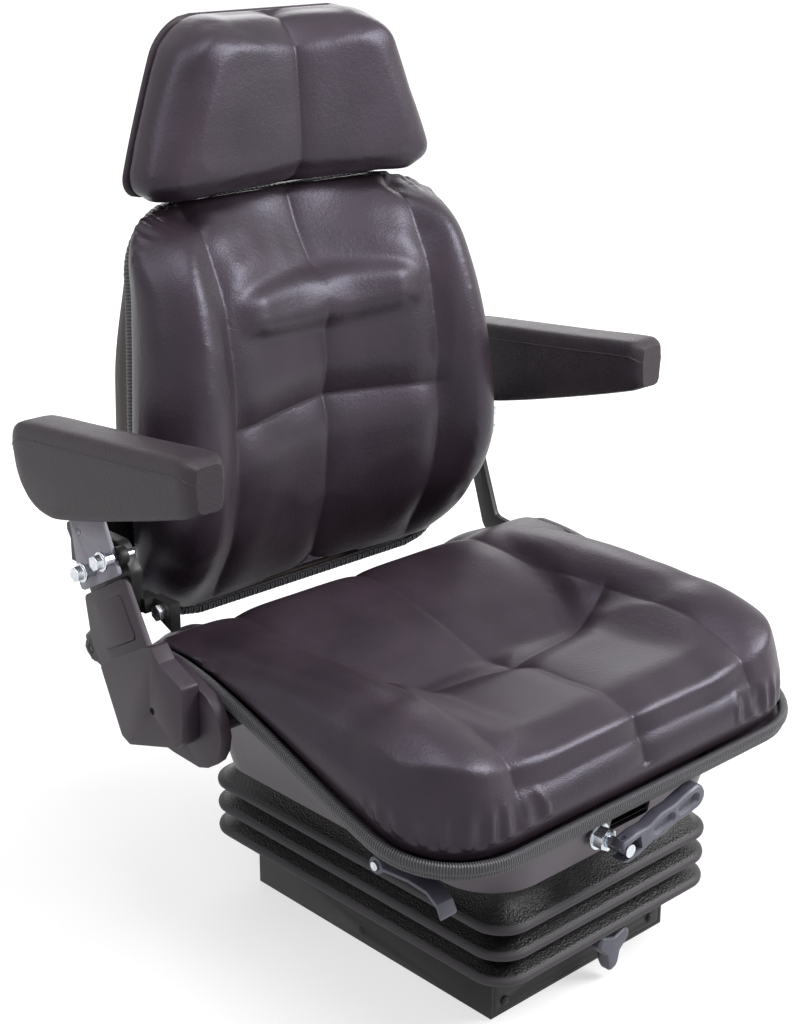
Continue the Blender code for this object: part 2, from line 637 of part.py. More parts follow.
def build_scissors():
    low_rear = (REAR_PIVOT_Y, LOWER_PIVOT_Z)
    low_front = (FRONT_PIVOT_Y, LOWER_PIVOT_Z)
    high_rear = (REAR_PIVOT_Y, UPPER_PIVOT_Z)
    high_front = (FRONT_PIVOT_Y, UPPER_PIVOT_Z)
    reach = ROLLER_X + ROLLER_WIDTH
    bar_hole = PIVOT_BAR_RADIUS + RUN

    outer = None
    for side in (-1, 1):
        x0, x1 = sorted((side * OUTER_ARM_X, side * (OUTER_ARM_X + ARM_THICKNESS)))
        arm = scissor_arm(x0, x1, low_rear, high_front, bar_hole)
        outer = arm if outer is None else join_bodies(outer, arm)
    axle_end = ROLLER_X + EAR_THICKNESS
    outer = fuse(outer,
                 rod((-axle_end, *low_rear), (axle_end, *low_rear), TUBE_RADIUS),
                 rod((-OUTER_ARM_X - 0.001, *high_front), (OUTER_ARM_X + 0.001, *high_front),
                     TUBE_RADIUS),
                 rod((-reach, *high_front), (reach, *high_front), STUB_RADIUS, 10))
    add_part("outer_scissor", outer, PAINT_BLACK, (0, *low_rear))

    inner = None
    for side in (-1, 1):
        x0, x1 = sorted((side * INNER_ARM_X, side * (INNER_ARM_X + ARM_THICKNESS)))
        arm = scissor_arm(x0, x1, low_front, high_rear, bar_hole)
        inner = arm if inner is None else join_bodies(inner, arm)
    inner = fuse(inner,
                 rod((-axle_end, *high_rear), (axle_end, *high_rear), TUBE_RADIUS),
                 rod((-INNER_ARM_X - 0.001, *low_front), (INNER_ARM_X + 0.001, *low_front),
                     TUBE_RADIUS),
                 rod((-reach, *low_front), (reach, *low_front), STUB_RADIUS, 10))
    add_part("inner_scissor", inner, PAINT_BLACK, (0, CROSS_Y, CROSS_Z))

    bar_end = OUTER_ARM_X + ARM_THICKNESS + ARM_SIDE_PLAY / 2
    add_part("scissor_pivot_bar",
             rod((-bar_end, CROSS_Y, CROSS_Z), (bar_end, CROSS_Y, CROSS_Z), PIVOT_BAR_RADIUS, 12),
             ZINC, (0, CROSS_Y, CROSS_Z))

    for level, centre in (("lower", low_front), ("upper", high_front)):
        for side, word in ((-1, "left"), (1, "right")):
            ends = sorted((side * ROLLER_X, side * (ROLLER_X + ROLLER_WIDTH)))
            roller = rod((ends[0], *centre), (ends[1], *centre), ROLLER_RADIUS, 12)
            bore = rod((ends[0] - 0.01, *centre), (ends[1] + 0.01, *centre), STUB_RADIUS + RUN, 10)
            add_part(level + "_roller_" + word, cut(roller, bore), PLASTIC, (0, *centre))


def join_bodies(first, second):
    """Put two shapes that don't touch into one mesh."""
    mesh = bpy.data.meshes.new("work")
    second.to_mesh(mesh)
    second.free()
    first.from_mesh(mesh)
    return first


# Upper frame with its roller ledges, open pivots, spindle brackets and slot for the tension block
def build_upper_frame():
    wall = FRAME_SHEET
    inside = FRAME_HALF_WIDTH - wall
    bottom = FRAME_TOP - FRAME_DEPTH - wall
    section = [(-FRAME_HALF_WIDTH, FRAME_TOP), (-FRAME_HALF_WIDTH, bottom), (-inside, bottom),
               (-inside, FRAME_UNDERSIDE), (inside, FRAME_UNDERSIDE), (inside, bottom),
               (FRAME_HALF_WIDTH, bottom), (FRAME_HALF_WIDTH, FRAME_TOP)]
    frame = loft([[(x, y, z) for x, z in section] for y in (FRAME_FRONT, FRAME_REAR)])
    join = wall / 4
    ledge_top = UPPER_PIVOT_Z - ROLLER_RADIUS - FOLD_PLAY
    front = FRONT_PIVOT_Y - LEDGE_LENGTH / 2
    for side in (-1, 1):
        ledge = mirrored(box(ROLLER_X, inside + join, front, front + LEDGE_LENGTH,
                             ledge_top - LEDGE_THICKNESS, ledge_top), side)
        ear_outline = ([(REAR_PIVOT_Y + EAR_HALF_LENGTH, FRAME_UNDERSIDE + join)]
                       + [(REAR_PIVOT_Y - EAR_HALF_LENGTH, FRAME_UNDERSIDE + join)]
                       + arc((REAR_PIVOT_Y, UPPER_PIVOT_Z), EAR_HALF_LENGTH, 180, 360, 6))
        ear = pivot_ear(ear_outline, UPPER_PIVOT_Z, TUBE_RADIUS + FOLD_PLAY, side)
        frame = fuse(frame, ledge, ear)
    end_wall = box(-inside - join, inside + join, FRAME_FRONT + join, FRAME_FRONT + wall,
                   bottom + join, FRAME_UNDERSIDE + join)
    rear_wall = box(-inside - join, inside + join, FRAME_REAR - wall, FRAME_REAR - join,
                    bottom + join, FRAME_UNDERSIDE + join)
    frame = fuse(frame, end_wall, rear_wall)
    slot_front = BLOCK_FRONT - 0.004
    slot_rear = BLOCK_FRONT + BLOCK_THICKNESS + BLOCK_TRAVEL + 0.004
    slot = box(-BLOCK_HALF_WIDTH - 0.003, BLOCK_HALF_WIDTH + 0.003, slot_front, slot_rear,
               FRAME_UNDERSIDE - 0.01, FRAME_TOP + 0.01)
    frame = cut(frame, slot)
    for bracket_y in (RAIL_FRONT, SPINDLE_REAR - 0.005):
        bracket = box(SPINDLE_X - 0.018, SPINDLE_X + 0.018, bracket_y, bracket_y + 0.004,
                      FRAME_TOP - join, SPINDLE_Z + 0.0105)
        hole = rod((SPINDLE_X, bracket_y - 0.01, SPINDLE_Z), (SPINDLE_X, bracket_y + 0.01, SPINDLE_Z),
                   SPINDLE_RADIUS + RUN)
        frame = fuse(frame, cut(bracket, hole))
    add_part("upper_frame", frame, PAINT_BLACK)


# Ribbed rubber bellows between base box and upper frame
def bellows_outline(reach, play=0.0):
    """Plan of the bellows: reach 0 is a valley, reach 1 a rib's lip."""
    inset = VALLEY_DEPTH * (1 - reach)
    return round_rectangle(RIB_HALF_WIDTH - inset + play, RIB_FRONT + 1.15 * inset - play,
                           RIB_REAR - 1.15 * inset + play, RIB_RADIUS - 0.4 * inset,
                           RIB_RADIUS - 0.4 * inset, 4, 1)


def build_bellows():
    base_collar = round_rectangle(BASE_HALF_WIDTH + GAP + BELLOWS_WALL,
                                  -BASE_HALF_LENGTH - GAP - BELLOWS_WALL,
                                  BASE_HALF_LENGTH + GAP + BELLOWS_WALL, 0.006, 0.006, 4, 1)
    base_inner = round_rectangle(BASE_HALF_WIDTH + GAP, -BASE_HALF_LENGTH - GAP,
                                 BASE_HALF_LENGTH + GAP, 0.001, 0.001, 4, 1)
    top_collar = round_rectangle(FRAME_HALF_WIDTH + GAP + BELLOWS_WALL, FRAME_FRONT - GAP - BELLOWS_WALL,
                                 FRAME_REAR + GAP + BELLOWS_WALL, 0.006, 0.006, 4, 1)
    top_inner = round_rectangle(FRAME_HALF_WIDTH + GAP, FRAME_FRONT - GAP, FRAME_REAR + GAP,
                                0.001, 0.001, 4, 1)
    valley = bellows_outline(0)
    lip = bellows_outline(1)
    lip_edge = bellows_outline(0.9)
    outer = [(base_collar, BASE_HEIGHT - COLLAR_HEIGHT), (base_collar, BASE_HEIGHT + 0.001)]
    for k in range(RIB_COUNT):
        z = RIB_BOTTOM_Z + k * RIB_PITCH
        outer += [(lip_edge, z - RIB_LIP), (lip, z), (lip_edge, z + RIB_LIP)]
        if k < RIB_COUNT - 1:
            outer.append((valley, z + RIB_PITCH / 2 + VALLEY_LIFT))
    top_z = FRAME_UNDERSIDE - FRAME_DEPTH
    outer += [(top_collar, FRAME_UNDERSIDE - COLLAR_HEIGHT), (top_collar, FRAME_UNDERSIDE + 0.001)]
    inner = [(top_inner, FRAME_UNDERSIDE + 0.001), (top_inner, top_z + 0.014)]
    valley_in = bellows_outline(-0.02, -BELLOWS_WALL / 2)
    lip_in = bellows_outline(0.92, -BELLOWS_WALL / 2)
    for k in reversed(range(RIB_COUNT)):
        z = RIB_BOTTOM_Z + k * RIB_PITCH
        inner.append((lip_in, z))
        if k > 0:
            inner.append((valley_in, z - RIB_PITCH / 2 + VALLEY_LIFT))
    inner += [(base_inner, BASE_HEIGHT + 0.0035), (base_inner, BASE_HEIGHT - COLLAR_HEIGHT)]
    rings = [[(x, y, z) for x, y in plan] for plan, z in outer + inner]
    add_part("bellows", loft(rings, closed=True), RUBBER, (0, 0, BASE_HEIGHT), 60)


# Two tension springs from the scissor's cross tube to the tension block
def build_spring(side, word):
    start_y = FRONT_PIVOT_Y + HOOK_RADIUS + SPRING_WIRE
    end_y = BLOCK_FRONT - GAP - SPRING_WIRE
    centre_x, centre_z = side * SPRING_X, UPPER_PIVOT_Z
    path = []
    for i in range(7):
        angle = math.radians(200 + 160 * i / 6)
        path.append((centre_x, FRONT_PIVOT_Y + HOOK_RADIUS * math.cos(angle),
                     centre_z + HOOK_RADIUS * math.sin(angle)))
    steps = SPRING_TURNS * SPRING_STEPS
    for i in range(steps + 1):
        t = i / steps
        angle = 2 * math.pi * SPRING_TURNS * t
        grow = SPRING_RADIUS * min(1.0, 6 * t + 0.1, 6 * (1 - t) + 0.1)
        path.append((centre_x + grow * math.sin(angle), start_y + (end_y - start_y) * t + 0.001,
                     centre_z + grow * math.cos(angle)))
    curve = bpy.data.curves.new("work", "CURVE")
    curve.dimensions = "3D"
    curve.bevel_depth = SPRING_WIRE
    curve.bevel_resolution = 0
    curve.use_fill_caps = True
    spline = curve.splines.new("POLY")
    spline.points.add(len(path) - 1)
    for point, place in zip(spline.points, path):
        point.co = (*place, 1)
    holder = bpy.data.objects.new("work", curve)
    bpy.context.scene.collection.objects.link(holder)
    evaluated = holder.evaluated_get(bpy.context.evaluated_depsgraph_get())
    shape = bmesh.new()
    shape.from_mesh(evaluated.to_mesh())
    bpy.data.objects.remove(holder, do_unlink=True)
    bmesh.ops.remove_doubles(shape, verts=shape.verts, dist=1e-6)
    add_part("spring_" + word, shape, ZINC, (0, FRONT_PIVOT_Y, UPPER_PIVOT_Z))


def build_damper():
    bottom = BASE_SHEET + GAP
    body = rod((0, DAMPER_Y, bottom), (0, DAMPER_Y, DAMPER_TOP), DAMPER_RADIUS, 20)
    bore = rod((0, DAMPER_Y, bottom + DAMPER_FOOT), (0, DAMPER_Y, DAMPER_TOP + 0.01),
               ROD_RADIUS + RUN, 10)
    add_part("damper_cylinder", cut(body, bore), PAINT_BLACK)
    add_part("damper_rod", rod((0, DAMPER_Y, DAMPER_TOP - ROD_INSERTION),
                               (0, DAMPER_Y, FRAME_UNDERSIDE - GAP), ROD_RADIUS, 16), ZINC)


def build_tension_block():
    block = box(-BLOCK_HALF_WIDTH, BLOCK_HALF_WIDTH, BLOCK_FRONT, BLOCK_FRONT + BLOCK_THICKNESS,
                UPPER_PIVOT_Z - 0.011, SPINDLE_Z + 0.0085)
    hole = rod((SPINDLE_X, BLOCK_FRONT - 0.01, SPINDLE_Z), (SPINDLE_X, BLOCK_FRONT + 0.03, SPINDLE_Z),
               SPINDLE_RADIUS + RUN)
    add_part("tension_block", cut(block, hole), ZINC)


# Crank spindle, its nut and the folding handle
def handle_axes():
    tilt = math.radians(HANDLE_TILT)
    along = Vector((math.cos(tilt), 0, math.sin(tilt)))
    across = Vector((-math.sin(tilt), 0, math.cos(tilt)))
    return along, across


def build_crank():
    along, across = handle_axes()
    pivot = Vector(HANDLE_PIVOT)
    spindle = rod((SPINDLE_X, SPINDLE_FRONT, SPINDLE_Z), (SPINDLE_X, SPINDLE_REAR, SPINDLE_Z),
                  SPINDLE_RADIUS)
    pin_hole = rod(pivot - across * 0.02, pivot + across * 0.02, HANDLE_PIN_RADIUS + RUN, 12)
    add_part("crank_spindle", cut(spindle, pin_hole), ZINC, (SPINDLE_X, 0, SPINDLE_Z))

    nut = rod((SPINDLE_X, NUT_REAR - 0.0118, SPINDLE_Z), (SPINDLE_X, NUT_REAR - 0.0018, SPINDLE_Z),
              NUT_HALF_WIDTH, 6)
    washer = rod((SPINDLE_X, NUT_REAR - 0.002, SPINDLE_Z), (SPINDLE_X, NUT_REAR, SPINDLE_Z),
                 WASHER_RADIUS, 18)
    bore = rod((SPINDLE_X, NUT_REAR - 0.03, SPINDLE_Z), (SPINDLE_X, NUT_REAR + 0.01, SPINDLE_Z),
               SPINDLE_RADIUS + RUN)
    add_part("spindle_nut", cut(fuse(nut, washer), bore), ZINC, (SPINDLE_X, 0, SPINDLE_Z))

    hub, waist, grip = 0.0115, 0.0085, 0.0115
    outline = arc((0, 0), hub, 110, 250, 6)
    outline += [(0.012, -hub), (0.028, -waist), (0.045, -grip), (0.062, -waist * 1.12), (0.08, -grip)]
    outline += arc((HANDLE_LENGTH - grip, 0), grip, -75, 75, 6)
    outline += [(0.08, grip), (0.062, waist * 1.12), (0.045, grip), (0.028, waist), (0.012, hub)]
    half = HANDLE_THICKNESS / 2

    def place(a, b, depth):
        return pivot + along * a + across * b + Vector((0, depth, 0))

    rings = []
    for depth, scale in ((-half, 0.88), (-half + 0.002, 1.0), (half - 0.002, 1.0), (half, 0.88)):
        rings.append([place(a * (1 if scale == 1 else 0.985), b * scale, depth) for a, b in outline])
    handle = loft(rings)
    slot_half = SPINDLE_RADIUS + 0.0006
    slot_end = SPINDLE_RADIUS + 0.009
    slot = loft([[place(a, b, depth) for a, b in ((-0.03, -slot_half), (slot_end, -slot_half),
                                                  (slot_end, slot_half), (-0.03, slot_half))]
                 for depth in (-0.03, 0.03)])
    handle = cut(handle, slot)
    for middle in (0.046, 0.079):
        scoop_outline = (arc((middle + 0.009, 0), 0.0058, -90, 90, 5)
                         + arc((middle - 0.009, 0), 0.0058, 90, 270, 5))
        scoop = loft([[place(middle + (a - middle) * size, b * size, depth) for a, b in scoop_outline]
                      for depth, size in ((-half - 0.002, 1.12), (-half + 0.0045, 0.8))])
        handle = cut(handle, scoop)
    pin_hole = rod(pivot - across * 0.03, pivot + across * 0.03, HANDLE_PIN_RADIUS + RUN, 12)
    add_part("crank_handle", cut(handle, pin_hole), PLASTIC_GREY, HANDLE_PIVOT)
    add_part("handle_pin", rod(pivot - across * (hub - 0.001), pivot + across * (hub - 0.001),
                               HANDLE_PIN_RADIUS, 12), ZINC, HANDLE_PIVOT)


# Seat rails and sliders
def build_rail(side, word):
    half, wall = RAIL_HALF_WIDTH, RAIL_WALL
    lower = [(-half, RAIL_BOTTOM), (half, RAIL_BOTTOM), (half, RAIL_TOP), (half - wall, RAIL_TOP),
             (half - wall, RAIL_BOTTOM + wall), (wall - half, RAIL_BOTTOM + wall),
             (wall - half, RAIL_TOP), (-half, RAIL_TOP)]
    rail = loft([[(side * RAIL_X + x, y, z) for x, z in lower] for y in (RAIL_FRONT, RAIL_REAR)])
    add_part("fixed_rail_" + word, rail, STEEL)
    out = half + SLIDER_SIDE_PLAY + wall
    top, ceiling = PAN_FLOOR - GAP, RAIL_TOP + GAP
    low = ceiling - SLIDER_DEPTH
    upper = [(-out, low), (-out + wall, low), (-out + wall, ceiling), (out - wall, ceiling),
             (out - wall, low), (out, low), (out, top), (-out, top)]
    slider = loft([[(side * RAIL_X + x, y, z) for x, z in upper] for y in (SLIDER_FRONT, RAIL_REAR)])
    add_part("slider_" + word, slider, STEEL)


# Seat pan: rim, flange, dished wall and skirt round the rails
def rim_height(y):
    rise = smoothstep((y + 0.235) / 0.355)
    drop = smoothstep((y - 0.125) / 0.085)
    return PAN_FRONT_Z + PAN_RISE * rise - PAN_REAR_DROP * drop


def pan_plan(half_width, front, rear, front_radius=PAN_FRONT_RADIUS, rear_radius=PAN_REAR_RADIUS):
    return round_rectangle(half_width, front, rear, front_radius, rear_radius, 5, 5)


def neck_height(y):
    """Height of the fold where the dished wall meets the skirt."""
    return SKIRT_BOTTOM + 0.5 * (rim_height(y) - PAN_FLANGE - SKIRT_BOTTOM) + NECK_LIFT


def pan_outer_rings(extra=0.0):
    """Outer face of the pan from rim to skirt, moved out by an extra distance."""
    rim = pan_plan(PAN_HALF_WIDTH + extra, PAN_FRONT - extra, PAN_REAR + extra)
    flange = pan_plan(PAN_HALF_WIDTH - 0.003 + extra, PAN_FRONT + 0.003 - extra, PAN_REAR - 0.003 + extra)
    neck = pan_plan(NECK_HALF_WIDTH + extra, NECK_FRONT - extra, NECK_REAR + extra, 0.066, 0.05)
    skirt = pan_plan(SKIRT_HALF_WIDTH + extra, SKIRT_FRONT - extra, SKIRT_REAR + extra, 0.055, 0.04)
    return [[(x, y, rim_height(y)) for x, y in rim],
            [(x, y, rim_height(y) - PAN_FLANGE) for x, y in flange],
            [(x, y, neck_height(y)) for x, y in neck],
            [(x, y, SKIRT_BOTTOM) for x, y in skirt]]


def pan_envelope():
    """Solid that fills the pan and the space above it, for pieces that end on its outer wall."""
    rings = pan_outer_rings(GAP)
    lid = [(x, y, PAN_FRONT_Z + 2 * PAN_RISE) for x, y, z in rings[0]]
    return loft([lid] + rings)


def level_ring(low, high, z):
    """Plan points where a wall between two rings passes a height."""
    points = []
    for a, b in zip(low, high):
        share = min(1.0, (z - a[2]) / (b[2] - a[2]))
        points.append((a[0] + (b[0] - a[0]) * share, a[1] + (b[1] - a[1]) * share))
    return points


def build_seat_pan():
    rim, flange, neck, skirt = pan_outer_rings()
    floor = grown(level_ring(skirt, neck, PAN_FLOOR_TOP), -PAN_WALL)
    roof = grown(level_ring(skirt, neck, PAN_FLOOR), -PAN_WALL)
    inner_neck = pan_plan(NECK_HALF_WIDTH - PAN_WALL, NECK_FRONT + PAN_WALL, NECK_REAR - PAN_WALL,
                          0.063, 0.047)
    rim_in = pan_plan(PAN_HALF_WIDTH - PAN_WALL, PAN_FRONT + PAN_WALL, PAN_REAR - PAN_WALL)
    skirt_in = pan_plan(SKIRT_HALF_WIDTH - PAN_WALL, SKIRT_FRONT + PAN_WALL, SKIRT_REAR - PAN_WALL,
                        0.052, 0.037)
    pan = loft([[(x, y, PAN_FLOOR_TOP) for x, y in floor],
                [(x, y, neck_height(y) + 0.9 * PAN_WALL) for x, y in inner_neck],
                [(x, y, rim_height(y)) for x, y in rim_in],
                rim, flange, neck, skirt,
                [(x, y, SKIRT_BOTTOM) for x, y in skirt_in],
                [(x, y, PAN_FLOOR) for x, y in roof]])
    hole = rod((SPINDLE_X, -0.25, SPINDLE_Z), (SPINDLE_X, -0.15, SPINDLE_Z), SPINDLE_RADIUS + 0.0012)
    window = box(-0.006, 0.046, -0.25, -0.15, 0.158, 0.174)
    add_part("seat_pan", cut(pan, hole, window), PAINT_BLACK)


def trim_ring(path, outwards, upwards, width, height):
    """Edge trim: a soft section carried round a closed path of points."""
    rings = []
    for across, lift in TRIM_SECTION:
        rings.append([p + o * (width * across) + u * (height * lift)
                      for p, o, u in zip(path, outwards, upwards)])
    return loft(rings, closed=True)


def build_pan_trim():
    plan = pan_plan(PAN_HALF_WIDTH + GAP, PAN_FRONT - GAP, PAN_REAR + GAP)
    path = [Vector((x, y, rim_height(y))) for x, y in plan]
    moved = grown(plan, 1.0)
    outwards = [Vector((mx - x, my - y, 0)).normalized() for (x, y), (mx, my) in zip(plan, moved)]
    upwards = [Vector((0, 0, 1))] * len(plan)
    add_part("pan_edge_trim", trim_ring(path, outwards, upwards, TRIM_WIDTH, TRIM_HEIGHT), RUBBER,
             sharp=50)


# Seat cushion
def seat_surface(x, y):
    """Height z of the cushion's top at a place."""
    across = abs(x)
    middle = smooth_curve(SEAT_MIDDLE, y)
    crest = smooth_curve(SEAT_BOLSTER, y)
    z = middle + (crest - middle) * smoothstep((across - 0.095) / 0.095)
    z -= 0.012 * max(0.0, (across - 0.196) / 0.032) ** 2
    z -= 0.0045 * groove(across - SEAM_X, 0.007) * smoothstep((0.19 - y) / 0.03)
    crease_y = CREASE_Y + CREASE_SWEEP * across / SEAM_X
    z -= 0.0065 * groove(y - crease_y, 0.009) * smoothstep((0.165 - across) / 0.03)
    rear = smoothstep((y + 0.06) / 0.02)
    z -= rear * (0.007 + 0.004 * smoothstep((y - 0.1) / 0.08)) * groove(x, 0.016)
    z -= (1 - rear) * 0.0045 * groove(x, 0.009)
    return max(z, rim_height(y) + TRIM_HEIGHT / 2 + 0.005 + REAR_LIFT * smoothstep((y - 0.12) / 0.05))


def corner_half_width(along, low, high, half, low_radius, high_radius):
    """Half-width, at a place along it, of an outline with round corners."""
    if along < low + low_radius:
        reach = min(low_radius, low + low_radius - along)
        return half - low_radius + math.sqrt(low_radius ** 2 - reach ** 2)
    if along > high - high_radius:
        reach = min(high_radius, along - high + high_radius)
        return half - high_radius + math.sqrt(high_radius ** 2 - reach ** 2)
    return half


def build_seat_cushion():
    inset = 0.009
    front, rear = PAN_FRONT + inset, PAN_REAR - inset - 0.004
    half = PAN_HALF_WIDTH - inset

    def half_width(y):
        return corner_half_width(y, front, rear, half, PAN_FRONT_RADIUS - 0.008, 0.05)

    plan = outline_rows(half_width, [front + step for step in [0] + SEAT_ROWS] + [rear], SEAT_STATIONS)
    grid = [[(x, y, seat_surface(x, y)) for x, y in row] for row in plan]
    edge = grid_edge(plan)
    tops = [point[2] for point in grid_edge(grid)]
    floor_z = PAN_FLOOR_TOP + GAP

    def trim_top(y):
        return rim_height(y) + TRIM_HEIGHT / 2

    def ring(distance, height):
        return [(x, y, height(y, top)) for (x, y), top in zip(grown(edge, distance), tops)]

    foot = [(x * FOOT_SHARE, y * FOOT_SHARE, floor_z) for x, y in edge]
    rings = [ring(0.006, lambda y, top: top - 0.3 * (top - trim_top(y))),
             ring(0.0105, lambda y, top: top - 0.65 * (top - trim_top(y))),
             ring(0.008, lambda y, top: trim_top(y) + 0.0012),
             ring(0.0035, lambda y, top: rim_height(y) + 0.003),
             [(x * NECK_SHARE, y * FOOT_SHARE, neck_height(y * FOOT_SHARE) + 0.02) for x, y in edge],
             foot]
    add_part("seat_cushion", pad_shape(grid, rings), VINYL, sharp=60)


# Hinge brackets on the pan: a broad one with a rounded nose for the recliner, a plain lug opposite
def build_hinge_bracket(side, word):
    if side < 0:
        nose = ((HINGE_Y - 0.035, HINGE_Z - 0.007), 0.0385)
        pivot_round = 0.044
        outline = arc(nose[0], nose[1], 98, 262, 8) + arc((HINGE_Y, HINGE_Z), pivot_round, -95, 95, 8)
    else:
        outline = arc((HINGE_Y, HINGE_Z), PLAIN_HINGE_RADIUS, -10, 190, 10)
        foot_z = HINGE_Z - 0.0405
        outline += [(HINGE_Y - 0.027, foot_z), (HINGE_Y + 0.005, foot_z)]
    outer_x = HINGE_PLATE_X + BRACKET_THICKNESS
    plate = prism_x(outline, HINGE_PLATE_X, outer_x)
    boss = rod((0.165, HINGE_Y - 0.012, HINGE_Z - 0.0265), (HINGE_PLATE_X + 0.002, HINGE_Y - 0.012,
               HINGE_Z - 0.0265), 0.0095, 10)
    shape = fuse(plate, cut(boss, pan_envelope()))
    pin_hole = rod((0.24, HINGE_Y, HINGE_Z), (0.27, HINGE_Y, HINGE_Z), HINGE_PIN_RADIUS + RUN)
    shape = cut(shape, pin_hole)
    add_part("hinge_bracket_" + word, mirrored(shape, side), PLASTIC, (0, HINGE_Y, HINGE_Z))
    pin_end = COVER_X + COVER_THICKNESS - 0.004 if side < 0 else ARM_PLATE_X + 0.0015
    pin = rod((HINGE_PLATE_X, HINGE_Y, HINGE_Z), (pin_end, HINGE_Y, HINGE_Z), HINGE_PIN_RADIUS)
    add_part("hinge_pin_" + word, mirrored(pin, side), ZINC, (0, HINGE_Y, HINGE_Z))


# Recliner cover on the left, which turns with the backrest
def build_hinge_cover():
    neck_face = COVER_X + COVER_NECK_THICKNESS
    face = COVER_X + COVER_THICKNESS
    body = prism_x(round_corners(COVER_BODY), COVER_X, face)
    neck = prism_x(round_corners(COVER_NECK), COVER_X, neck_face)
    panel = prism_x(round_corners(COVER_PANEL), neck_face - 0.001, neck_face + 0.0012)
    bore = rod((COVER_X - 0.01, HINGE_Y, HINGE_Z), (face - 0.0035, HINGE_Y, HINGE_Z),
               HINGE_PIN_RADIUS + RUN)
    eye = rod((face - 0.005, HINGE_Y, HINGE_Z), (face + 0.01, HINGE_Y, HINGE_Z), 0.0033, 14)
    shape = cut(fuse(body, neck, panel), bore, eye)
    add_part("hinge_cover_left", mirrored(shape, -1), PLASTIC, (0, HINGE_Y, HINGE_Z))


# Steel arms from the hinges to the back shell
def shell_tab(end_x):
    """Tab against the back shell's side, out to an arm."""
    tab = box(BACK_NARROW - 0.02, end_x, TAB_FRONT, TAB_REAR, TAB_BOTTOM, TAB_TOP)
    return cut(tab, loft(back_shell_rings(GAP)))


def build_recliner_arm():
    """Left arm: steel bar with a foot for the shell's bolt and a lug for the knob."""
    inner, outer = HINGE_PLATE_X, COVER_X - GAP
    bar = prism_x(round_corners([(0.1435, 0.333, 0.003), (0.16, 0.318, 0.004), (0.196, 0.318, 0.004),
                                 (0.246, 0.396, 0.006), (0.16, 0.396, 0.008), (0.142, 0.372, 0.008)]),
                  inner, outer)
    foot_x = inner - 0.0078
    foot = prism_x([(0.113, 0.3195), (0.141, 0.331), (0.141, 0.3455), (0.113, 0.3455)], 0.2325, foot_x)
    bridge = prism_x([(0.1375, 0.3325), (0.156, 0.3325), (0.156, 0.3455), (0.1375, 0.3455)],
                     foot_x - 0.006, inner + 0.002)
    tab = shell_tab(inner + 0.002)
    link = box(inner - 0.004, inner + 0.002, 0.215, TAB_REAR, TAB_BOTTOM + 0.01, TAB_TOP)
    lug = prism_x(round_corners([(0.162, 0.324, 0), (0.19, 0.324, 0), (0.225, 0.277, 0.007),
                                 (0.207, 0.265, 0.007), (0.172, 0.3, 0.004)]), inner + 0.005, outer)
    shape = fuse(bar, fuse(foot, bridge), fuse(link, tab), lug)
    for y, z in ARM_BOLTS[-1]:
        shape = fuse(shape, rod((outer - 0.002, y, z), (ARM_PLATE_X - GAP, y, z), ARM_BOSS_RADIUS, 14))
    shape = cut(shape, rod((0.24, *KNOB_PLACE), (0.28, *KNOB_PLACE), ARM_BOLT_RADIUS + RUN, 10))
    for y, z in ARM_BOLTS[-1]:
        shape = cut(shape, rod((0.24, y, z), (0.29, y, z), ARM_BOLT_RADIUS + RUN, 8))
    shape = cut(shape, rod((0.22, *FOOT_BOLT), (0.3, *FOOT_BOLT), FOOT_BOLT_RADIUS + RUN, 8))
    add_part("back_arm_left", mirrored(shape, -1), PAINT_BLACK, (0, HINGE_Y, HINGE_Z))
    bolt = fuse(rod((foot_x + GAP, *FOOT_BOLT), (foot_x + 0.0065, *FOOT_BOLT), 0.0075, 6),
                rod((0.2285, *FOOT_BOLT), (foot_x + 0.001, *FOOT_BOLT), FOOT_BOLT_RADIUS, 8))
    add_part("back_bolt_left", mirrored(bolt, -1), ZINC)


def build_plain_arm():
    """Right arm: a flat bar from the plain hinge, low behind the seat, up to the back shell."""
    outer = ARM_PLATE_X - GAP
    outline = arc((HINGE_Y, HINGE_Z), PLAIN_HINGE_RADIUS, 80, 280, 10)
    outline += round_corners([(0.185, 0.247, 0.006), (0.2265, 0.262, 0.012), (0.2525, 0.345, 0.006),
                              (0.2545, 0.3955, 0.003), (0.2345, 0.3955, 0.003), (0.2345, 0.352, 0.006),
                              (0.209, 0.279, 0.008), (0.18, 0.2745, 0.01)])
    bar = prism_x(outline, COVER_X, outer)
    shape = fuse(bar, shell_tab(COVER_X + 0.002))
    shape = cut(shape, rod((0.25, HINGE_Y, HINGE_Z), (0.28, HINGE_Y, HINGE_Z), HINGE_PIN_RADIUS + RUN))
    for y, z in ARM_BOLTS[1]:
        shape = cut(shape, rod((0.24, y, z), (0.29, y, z), ARM_BOLT_RADIUS + RUN, 8))
    add_part("back_arm_right", shape, PAINT_BLACK, (0, HINGE_Y, HINGE_Z))


def build_arm_bolts(side, word):
    for number, (y, z) in enumerate(ARM_BOLTS[side], 1):
        face = ARM_PLATE_X + ARM_PLATE_THICKNESS + GAP
        spacer = rod((face, y, z), (face + 0.011, y, z), ARM_SPACER_RADIUS, 10)
        washer = rod((face + 0.010, y, z), (face + 0.0125, y, z), ARM_WASHER_RADIUS, 12)
        head = rod((face + 0.012, y, z), (face + 0.0195, y, z), ARM_HEAD_RADIUS, 6)
        shank = rod((HINGE_PLATE_X, y, z), (face + 0.001, y, z), ARM_BOLT_RADIUS, 8)
        add_part("arm_bolt_%d_%s" % (number, word), mirrored(fuse(spacer, washer, head, shank), side),
                 ZINC)


